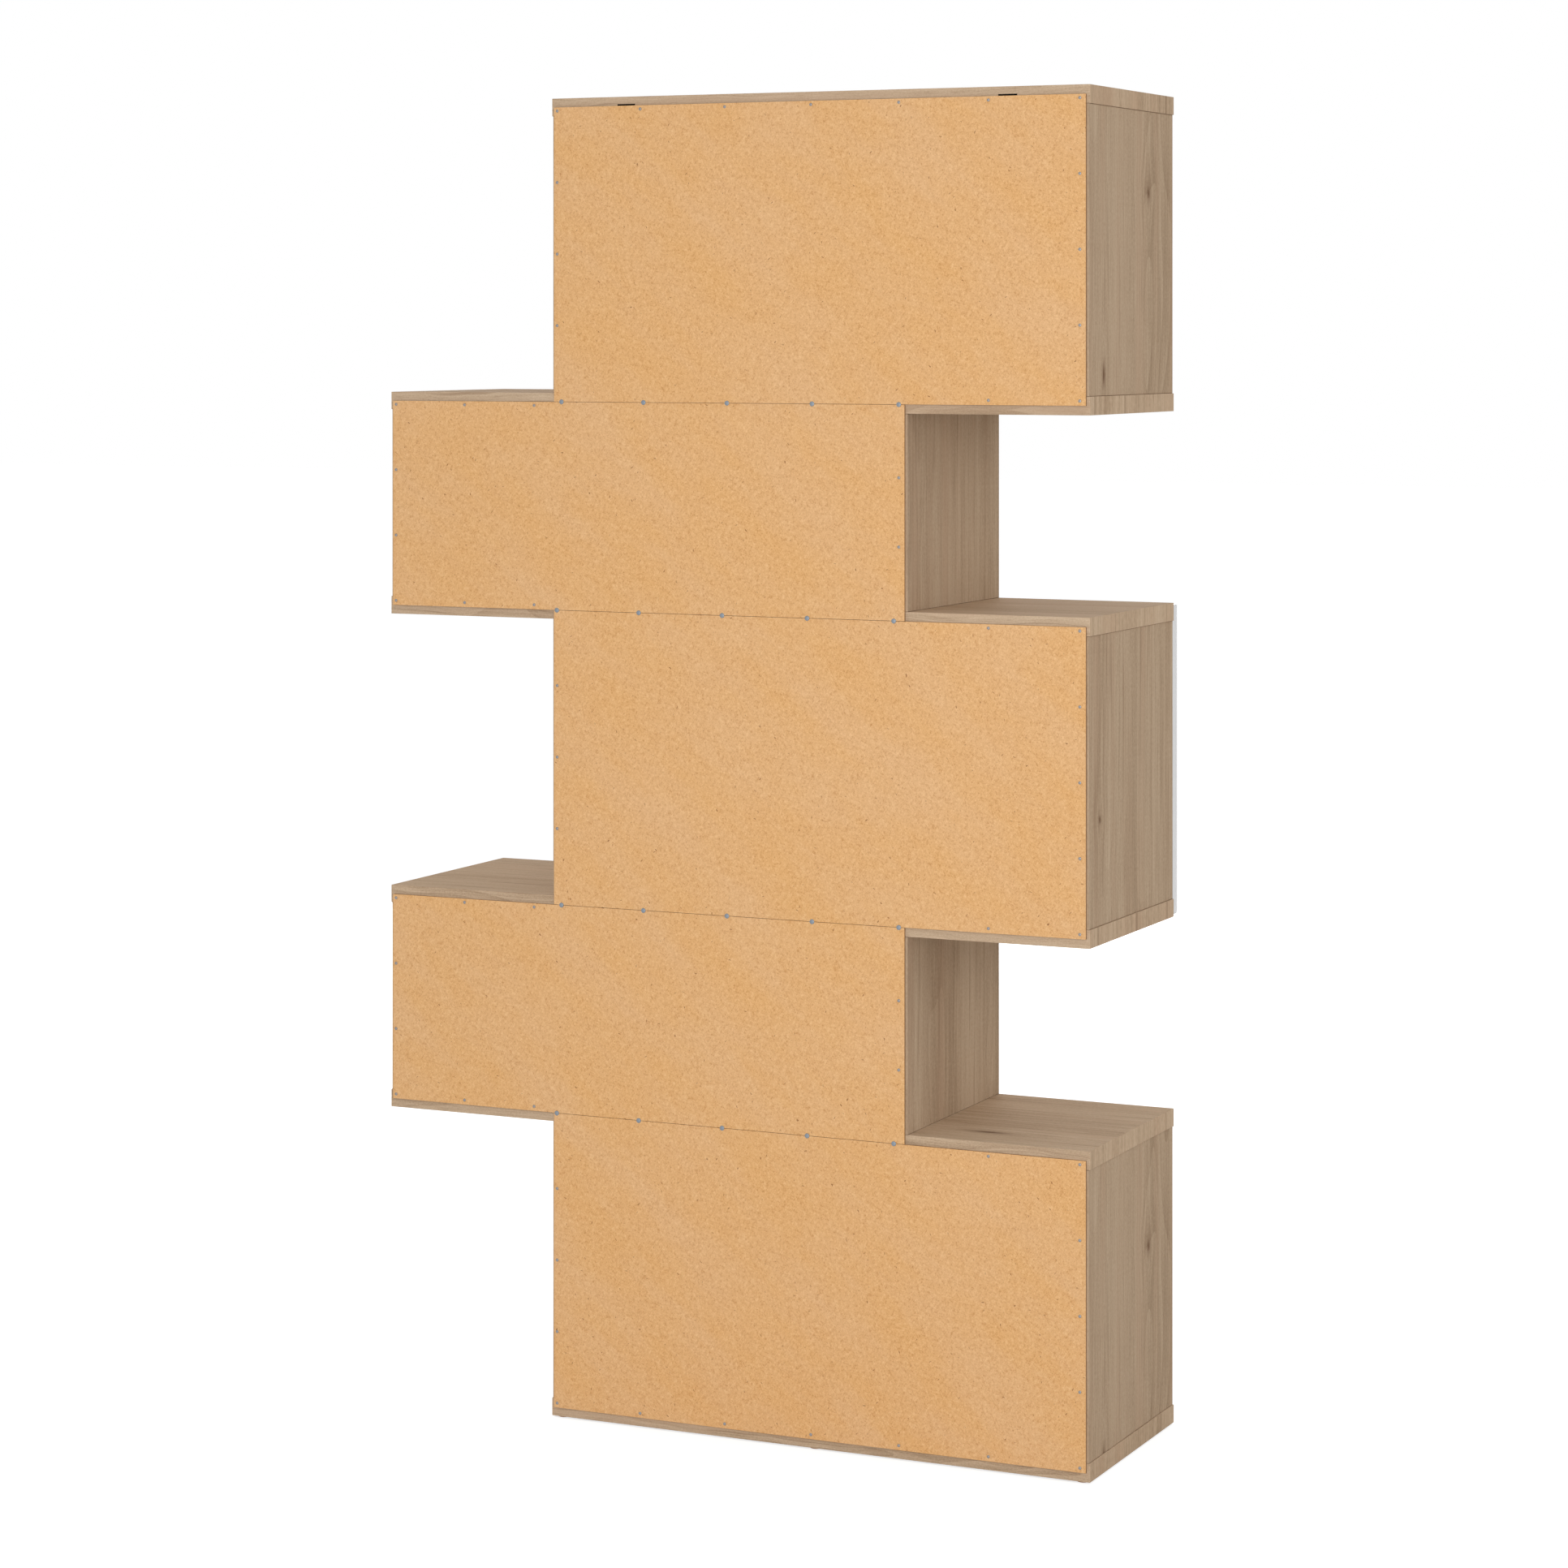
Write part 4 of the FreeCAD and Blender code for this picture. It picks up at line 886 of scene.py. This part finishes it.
def make_bumpers(hand):
    """Clear domes stuck on the rear of the door."""
    mesh = bmesh.new()
    for points in islands(f"{hand}_door_bumpers"):
        add_lathe(mesh, BUMPER, aim(far_end(points, -REARWARD), REARWARD), BUMPER_SEGMENTS)
    make_piece(mesh, f"{hand}_door_bumper_domes", f"{hand}_door", f"{hand}_door_bumpers",
               (CLEAR_RUBBER,))


# Concealed hinges: sizes of the pressed steel
CUP_WALL = 1.0 * MM
CUP_RIM = 1.0 * MM
CUP_SEGMENTS = 48
WING_RADIUS = 8 * MM
WING_REACH = 24 * MM
WING_OFFSET = 3.5 * MM
FLANGE_REACH = 1.2 * MM
NOTCH_DEPTH = 2 * MM
NOTCH_INSET = 5 * MM
PIN_RADIUS = 0.9 * MM
PIN_EASE = 0.2 * MM
PIN_ROOM = 0.05 * MM
PIN_SEGMENTS = 20
LINK_EYE_RADIUS = 1.8 * MM
LINK_HALF_WIDTH = 5 * MM
CHEEK = 1.6 * MM
CHEEK_INNER = 5.4 * MM
CHEEK_OUTER = CHEEK_INNER + CHEEK
KNUCKLE_RADIUS = 2.6 * MM
ARM_LENGTH = 48 * MM
ARM_HEIGHT = 7 * MM
ARM_WALL = 1.4 * MM
ARM_SCREW_SIZES = (3.0 * MM, 1.2 * MM, 1.5 * MM, ARM_HEIGHT)
PLATE_HALF_SPAN = 22 * MM
SHEET_ROUND = 0.3 * MM


def span_box(mesh, sign, near, far, bevel):
    """A box given by its corners, with X measured away from the hinge edge of the door."""
    ends = sorted((sign * near.x, sign * far.x))
    add_box(mesh, Vector((ends[0], near.y, near.z)), Vector((ends[1], far.y, far.z)), bevel)


def make_cups(hand, sign, pivots):
    """Drawn cups with a flange, two wings, a notch for the link and two lugs for the pin."""
    door_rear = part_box(f"{hand}_door")[1].y
    outward = RIGHTWARD * sign
    whole = bmesh.new()
    for middle in middles(f"{hand}_hinge_cups"):
        mouth = Vector((middle.x, door_rear, middle.z))
        shell = bmesh.new()
        profile = [(0, -CUP_DEPTH), (CUP_RADIUS - 2 * CUP_RIM, -CUP_DEPTH),
                   (CUP_RADIUS - 0.5 * CUP_RIM, 0.5 * CUP_RIM - CUP_DEPTH),
                   (CUP_RADIUS, 2 * CUP_RIM - CUP_DEPTH), (CUP_RADIUS, 0), (CUP_RADIUS + FLANGE_REACH, 0),
                   (CUP_RADIUS + FLANGE_REACH, 0.6 * CUP_RIM), (CUP_RADIUS + 0.6 * FLANGE_REACH, CUP_RIM),
                   (0, CUP_RIM)]
        add_lathe(shell, profile, aim(mouth, REARWARD), CUP_SEGMENTS)
        wings = bmesh.new()
        strip = stadium((0, -WING_REACH), (0, WING_REACH), WING_RADIUS)
        stand = placed(mouth + outward * WING_OFFSET, RIGHTWARD, UP, REARWARD)
        add_plate(wings, strip, stand, CUP_RIM, SHEET_ROUND)
        hollow = bmesh.new()
        add_lathe(hollow, rod_profile(CUP_RADIUS - CUP_WALL, CUP_DEPTH + OVERRUN),
                  aim(mouth - REARWARD * (CUP_DEPTH - CUP_WALL), REARWARD), CUP_SEGMENTS)
        notch = bmesh.new()
        inner = mouth - outward * (CUP_RADIUS - NOTCH_INSET)
        outer = mouth - outward * 2 * CUP_RADIUS
        span_box(notch, sign, Vector((sign * outer.x, door_rear - NOTCH_DEPTH, middle.z - CHEEK_INNER)),
                 Vector((sign * inner.x, door_rear + 2 * OVERRUN, middle.z + CHEEK_INNER)), 0)
        cup = carved(carved(carved(shell, wings, "UNION"), hollow), notch)
        lug_foot = door_rear - CUP_DEPTH + CUP_WALL / 2
        for side in (-1, 1):
            edges = sorted((middle.z + side * CHEEK_INNER, middle.z + side * CHEEK_OUTER))
            add_box(cup, Vector((pivots["cup"].x - LINK_EYE_RADIUS, lug_foot, edges[0])),
                    Vector((pivots["cup"].x + LINK_EYE_RADIUS, door_rear, edges[1])), SHEET_ROUND)
        add_copies(whole, cup, [Matrix.Identity(4)])
    make_piece(whole, f"{hand}_hinge_cup_shells", f"{hand}_door", f"{hand}_hinge_cups", (NICKEL,))


def make_pins(hand, kind, body):
    """Round pins with eased ends."""
    mesh = bmesh.new()
    for middle in middles(f"{hand}_{kind}_pins"):
        profile = rod_profile(PIN_RADIUS, 2 * CHEEK_OUTER, PIN_EASE)
        add_lathe(mesh, profile, aim(middle - UP * CHEEK_OUTER, UP), PIN_SEGMENTS)
    make_piece(mesh, f"{hand}_{kind}_pin_rods", body, f"{hand}_{kind}_pins", (SCREW_STEEL,))


def make_links(hand, pivots):
    """Flat links with an eye round each pin."""
    whole = bmesh.new()
    start, end = pivots["cup"], pivots["arm"]
    for middle in middles(f"{hand}_hinge_links"):
        floor = Matrix.Translation((0, 0, middle.z - LINK_HALF_WIDTH))
        link = bmesh.new()
        add_plate(link, stadium(start.xy, end.xy, LINK_EYE_RADIUS), floor, 2 * LINK_HALF_WIDTH, SHEET_ROUND)
        holes = bmesh.new()
        for pivot in (start, end):
            foot = Vector((pivot.x, pivot.y, middle.z - LINK_HALF_WIDTH - OVERRUN))
            hole = rod_profile(PIN_RADIUS + PIN_ROOM, 2 * LINK_HALF_WIDTH + 2 * OVERRUN)
            add_lathe(holes, hole, aim(foot, UP), PIN_SEGMENTS)
        add_copies(whole, carved(link, holes), [Matrix.Identity(4)])
    make_piece(whole, f"{hand}_hinge_link_straps", f"{hand}_links", f"{hand}_hinge_links",
               (NICKEL,))


def make_arms(hand, sign, pivots):
    """Pressed channel arms with two cheeks that hold the link's pin."""
    plate_low, plate_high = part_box(f"{hand}_hinge_plates")
    seat = plate_high.x if sign > 0 else plate_low.x
    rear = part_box(f"{hand}_hinge_arms")[1].y
    front = rear - ARM_LENGTH
    whole = bmesh.new()
    for middle in middles(f"{hand}_hinge_arms"):
        channel = bmesh.new()
        span_box(channel, sign, Vector((sign * seat, front, middle.z - CHEEK_OUTER)),
                 Vector((sign * seat + ARM_HEIGHT, rear, middle.z + CHEEK_OUTER)), 2 * SHEET_ROUND)
        hollow = bmesh.new()
        span_box(hollow, sign, Vector((sign * seat - OVERRUN, front - OVERRUN, middle.z - CHEEK_INNER)),
                 Vector((sign * seat + ARM_HEIGHT - ARM_WALL, rear + OVERRUN, middle.z + CHEEK_INNER)), 0)
        arm = carved(channel, hollow)
        root = (seat + sign * KNUCKLE_RADIUS, front + KNUCKLE_RADIUS)
        strip = stadium(root, pivots["arm"].xy, KNUCKLE_RADIUS)
        for foot in (middle.z + CHEEK_INNER, middle.z - CHEEK_OUTER):
            add_plate(arm, strip, Matrix.Translation((0, 0, foot)), CHEEK, SHEET_ROUND)
        add_copies(whole, arm, [Matrix.Identity(4)])
    make_piece(whole, f"{hand}_hinge_arm_channels", "carcass", f"{hand}_hinge_arms", (NICKEL,))


def make_plates(hand, sign):
    """Cross-shaped mounting plates with round wings."""
    low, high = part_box(f"{hand}_hinge_plates")
    seat = low.x if sign > 0 else high.x
    half_length = (high.y - low.y) / 2
    thickness = high.x - low.x
    whole = bmesh.new()
    for middle in middles(f"{hand}_hinge_plates"):
        stand = placed(Vector((seat, middle.y, middle.z)), REARWARD, UP, RIGHTWARD * sign)
        spine = bmesh.new()
        add_plate(spine, stadium((CHEEK_OUTER - half_length, 0), (half_length - CHEEK_OUTER, 0), CHEEK_OUTER),
                  stand, thickness, SHEET_ROUND)
        wing = bmesh.new()
        wing_tip = PLATE_HALF_SPAN - WING_RADIUS
        add_plate(wing, stadium((0, -wing_tip), (0, wing_tip), WING_RADIUS), stand, thickness, SHEET_ROUND)
        add_copies(whole, carved(spine, wing, "UNION"), [Matrix.Identity(4)])
    make_piece(whole, f"{hand}_hinge_plate_crosses", "carcass", f"{hand}_hinge_plates", (NICKEL,))


# Push latches
LATCH_WIDTH = 15 * MM
LATCH_ROUND = 1.2 * MM
EAR_LENGTH = 14 * MM
EAR_THICKNESS = 2.4 * MM
PLUNGER_RADIUS = 4 * MM
PLUNGER_TIP = 4 * MM
BORE_ROOM = 0.3 * MM
PLUNGER_SEGMENTS = 32


def make_latch(hand):
    """A rounded housing with screw ears, and the sprung plunger in its bore."""
    low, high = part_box(f"{hand}_latch_housing")
    tip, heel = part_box(f"{hand}_latch_plunger")
    middle = (low + high) / 2
    axis = (tip + heel) / 2
    half_width = RIGHTWARD * LATCH_WIDTH / 2
    case = bmesh.new()
    add_box(case, Vector((middle.x, low.y, low.z)) - half_width,
            Vector((middle.x, high.y, high.z)) + half_width, LATCH_ROUND, segments=3)
    ears = bmesh.new()
    ear_tip = (high.x - low.x) / 2 - EAR_LENGTH / 2
    add_plate(ears, stadium((-ear_tip, 0), (ear_tip, 0), EAR_LENGTH / 2),
              Matrix.Translation((middle.x, middle.y, high.z - EAR_THICKNESS)), EAR_THICKNESS, SHEET_ROUND)
    bore = bmesh.new()
    bore_length = heel.y - low.y + PLUNGER_TIP
    add_lathe(bore, rod_profile(PLUNGER_RADIUS + BORE_ROOM, bore_length + OVERRUN),
              aim(Vector((axis.x, low.y - OVERRUN, axis.z)), REARWARD), PLUNGER_SEGMENTS)
    make_piece(carved(carved(case, ears, "UNION"), bore), f"{hand}_latch_case", "carcass",
               f"{hand}_latch_housing", (GREY_PLASTIC,))
    plunger = bmesh.new()
    neck = 0.8 * PLUNGER_RADIUS
    length = heel.y - tip.y
    profile = [(0, 0), (0.7 * neck, 0), (neck, 0.2 * PLUNGER_TIP), (neck, PLUNGER_TIP),
               (PLUNGER_RADIUS, PLUNGER_TIP), (PLUNGER_RADIUS, length), (0, length)]
    add_lathe(plunger, profile, aim(Vector((axis.x, tip.y, axis.z)), REARWARD), PLUNGER_SEGMENTS)
    make_piece(plunger, f"{hand}_latch_plunger_rod", f"{hand}_plunger",
               f"{hand}_latch_plunger", (GREY_PLASTIC,))


for hand, sign in HAND_SIGNS.items():
    pivots = {kind: middles(f"{hand}_{kind}_pins")[0] for kind in ("cup", "arm")}
    make_door(hand)
    make_bumpers(hand)
    make_cups(hand, sign, pivots)
    make_pins(hand, "cup", f"{hand}_door")
    make_pins(hand, "arm", "carcass")
    make_links(hand, pivots)
    make_arms(hand, sign, pivots)
    make_plates(hand, sign)
    make_latch(hand)
    make_screws(f"{hand}_cup_screws", f"{hand}_door", REARWARD, WOOD_SCREW_SIZES)
    make_screws(f"{hand}_plate_screws", "carcass", RIGHTWARD * sign, WOOD_SCREW_SIZES)
    make_screws(f"{hand}_latch_screws", "carcass", -UP, WOOD_SCREW_SIZES)
    make_screws(f"{hand}_arm_screws", "carcass", RIGHTWARD * sign, ARM_SCREW_SIZES)


# Floor, world, lights and camera

WHITE = (1.0, 1.0, 1.0, 1.0)
AMBIENT = 0.58
FLOOR_HALF = 30.0
FLOOR_GLOW = 0.72
FLOOR_PLAIN = (0.7, 0.7, 0.7, 1.0)
FLOOR_SEEN = (0.5, 0.5, 0.5, 1.0)


def seen_share(shader):
    """1 where a ray shows the background to the eye: straight, mirrored or through glass."""
    rays = shader.node("ShaderNodeLightPath", {}).outputs
    shown = shader.math("MAXIMUM", rays["Is Camera Ray"], rays["Is Glossy Ray"])
    return shader.math("MAXIMUM", shown, rays["Is Transmission Ray"])


def floor_material():
    """Pale floor that stays white to the eye apart from the object's shadow."""
    shader = Shader("floor")
    shader.tree.nodes.remove(shader.surface)
    plain = shader.node("ShaderNodeBsdfDiffuse", {"Color": FLOOR_PLAIN}).outputs[0]
    shaded = shader.node("ShaderNodeBsdfDiffuse", {"Color": FLOOR_SEEN}).outputs[0]
    glow = shader.node("ShaderNodeEmission", {"Color": WHITE, "Strength": FLOOR_GLOW}).outputs[0]
    seen = shader.node("ShaderNodeAddShader", {0: shaded, 1: glow}).outputs[0]
    mixed = shader.node("ShaderNodeMixShader", {0: seen_share(shader), 1: plain, 2: seen}).outputs[0]
    shader.feed(shader.tree.nodes["Material Output"].inputs["Surface"], mixed)
    return shader.material


def make_floor():
    """A wide floor at zero height, which belongs to the stage."""
    mesh = bmesh.new()
    bmesh.ops.create_grid(mesh, x_segments=1, y_segments=1, size=FLOOR_HALF)
    data = bpy.data.meshes.new("floor")
    mesh.to_mesh(data)
    mesh.free()
    floor = bpy.data.objects.new("floor", data)
    bpy.context.scene.collection.objects.link(floor)
    data.materials.append(floor_material())


class WorldShader(Shader):
    """The same short calls on the world's node tree."""

    def __init__(self):
        world = bpy.data.worlds.new("studio")
        world.use_nodes = True
        bpy.context.scene.world = world
        self.tree = world.node_tree


def make_world():
    """Even soft light all round, and plain white where the eye sees past the object."""
    shader = WorldShader()
    background = shader.tree.nodes["Background"]
    background.inputs["Color"].default_value = WHITE
    strength = shader.total(AMBIENT, [(seen_share(shader), 1.0 - AMBIENT)])
    shader.feed(background.inputs["Strength"], strength)


# Lamps: their names, their places and the level of light from each
SOFTBOXES = [
    ("rear_softbox", (-1.4, 4.1, 1.3), 0.44),
    ("front_softbox", (1.4, -4.1, 1.3), 0.44),
    ("left_softbox", (-4.4, 0.4, 2.6), 0.14),
    ("right_softbox", (4.4, -0.4, 2.6), 0.14),
]
SOFTBOX_SIZE = 2.5
OBJECT_MIDDLE = Vector((0.0, 0.0, 0.8))


def add_softbox(name, place, level):
    """A square lamp that adds this level of light on a face that looks at it."""
    lamp = bpy.data.lights.new(name, "AREA")
    lamp.size = SOFTBOX_SIZE
    offset = OBJECT_MIDDLE - Vector(place)
    lamp.energy = level * math.pi ** 2 * offset.length_squared
    holder = bpy.data.objects.new(name, lamp)
    holder.location = place
    holder.rotation_euler = offset.to_track_quat("-Z", "Y").to_euler()
    bpy.context.scene.collection.objects.link(holder)


# The camera that was fitted to the photo
IMAGE_PIXELS = 1932.0
FOCAL_PIXELS = 5033.55
HORIZON_PIXELS = 410.26
SENSOR_MM = 36.0
EYE = Vector((-2.1461, 4.6185, 1.3409))
LOOK = Vector((0.4205, -0.9073, 0.0))


def make_camera():
    """A level camera behind the bookcase, with its frame shifted down."""
    camera = bpy.data.objects.new("camera", bpy.data.cameras.new("camera"))
    camera.data.sensor_width = SENSOR_MM
    camera.data.lens = FOCAL_PIXELS / IMAGE_PIXELS * SENSOR_MM
    camera.data.shift_y = HORIZON_PIXELS / IMAGE_PIXELS - 0.5
    camera.data.clip_end = 4 * FLOOR_HALF
    camera.location = EYE
    camera.rotation_euler = LOOK.to_track_quat("-Z", "Y").to_euler()
    bpy.context.scene.collection.objects.link(camera)
    bpy.context.scene.camera = camera


make_floor()
make_world()
for name, place, level in SOFTBOXES:
    add_softbox(name, place, level)
make_camera()
bpy.context.scene.view_settings.view_transform = "Standard"
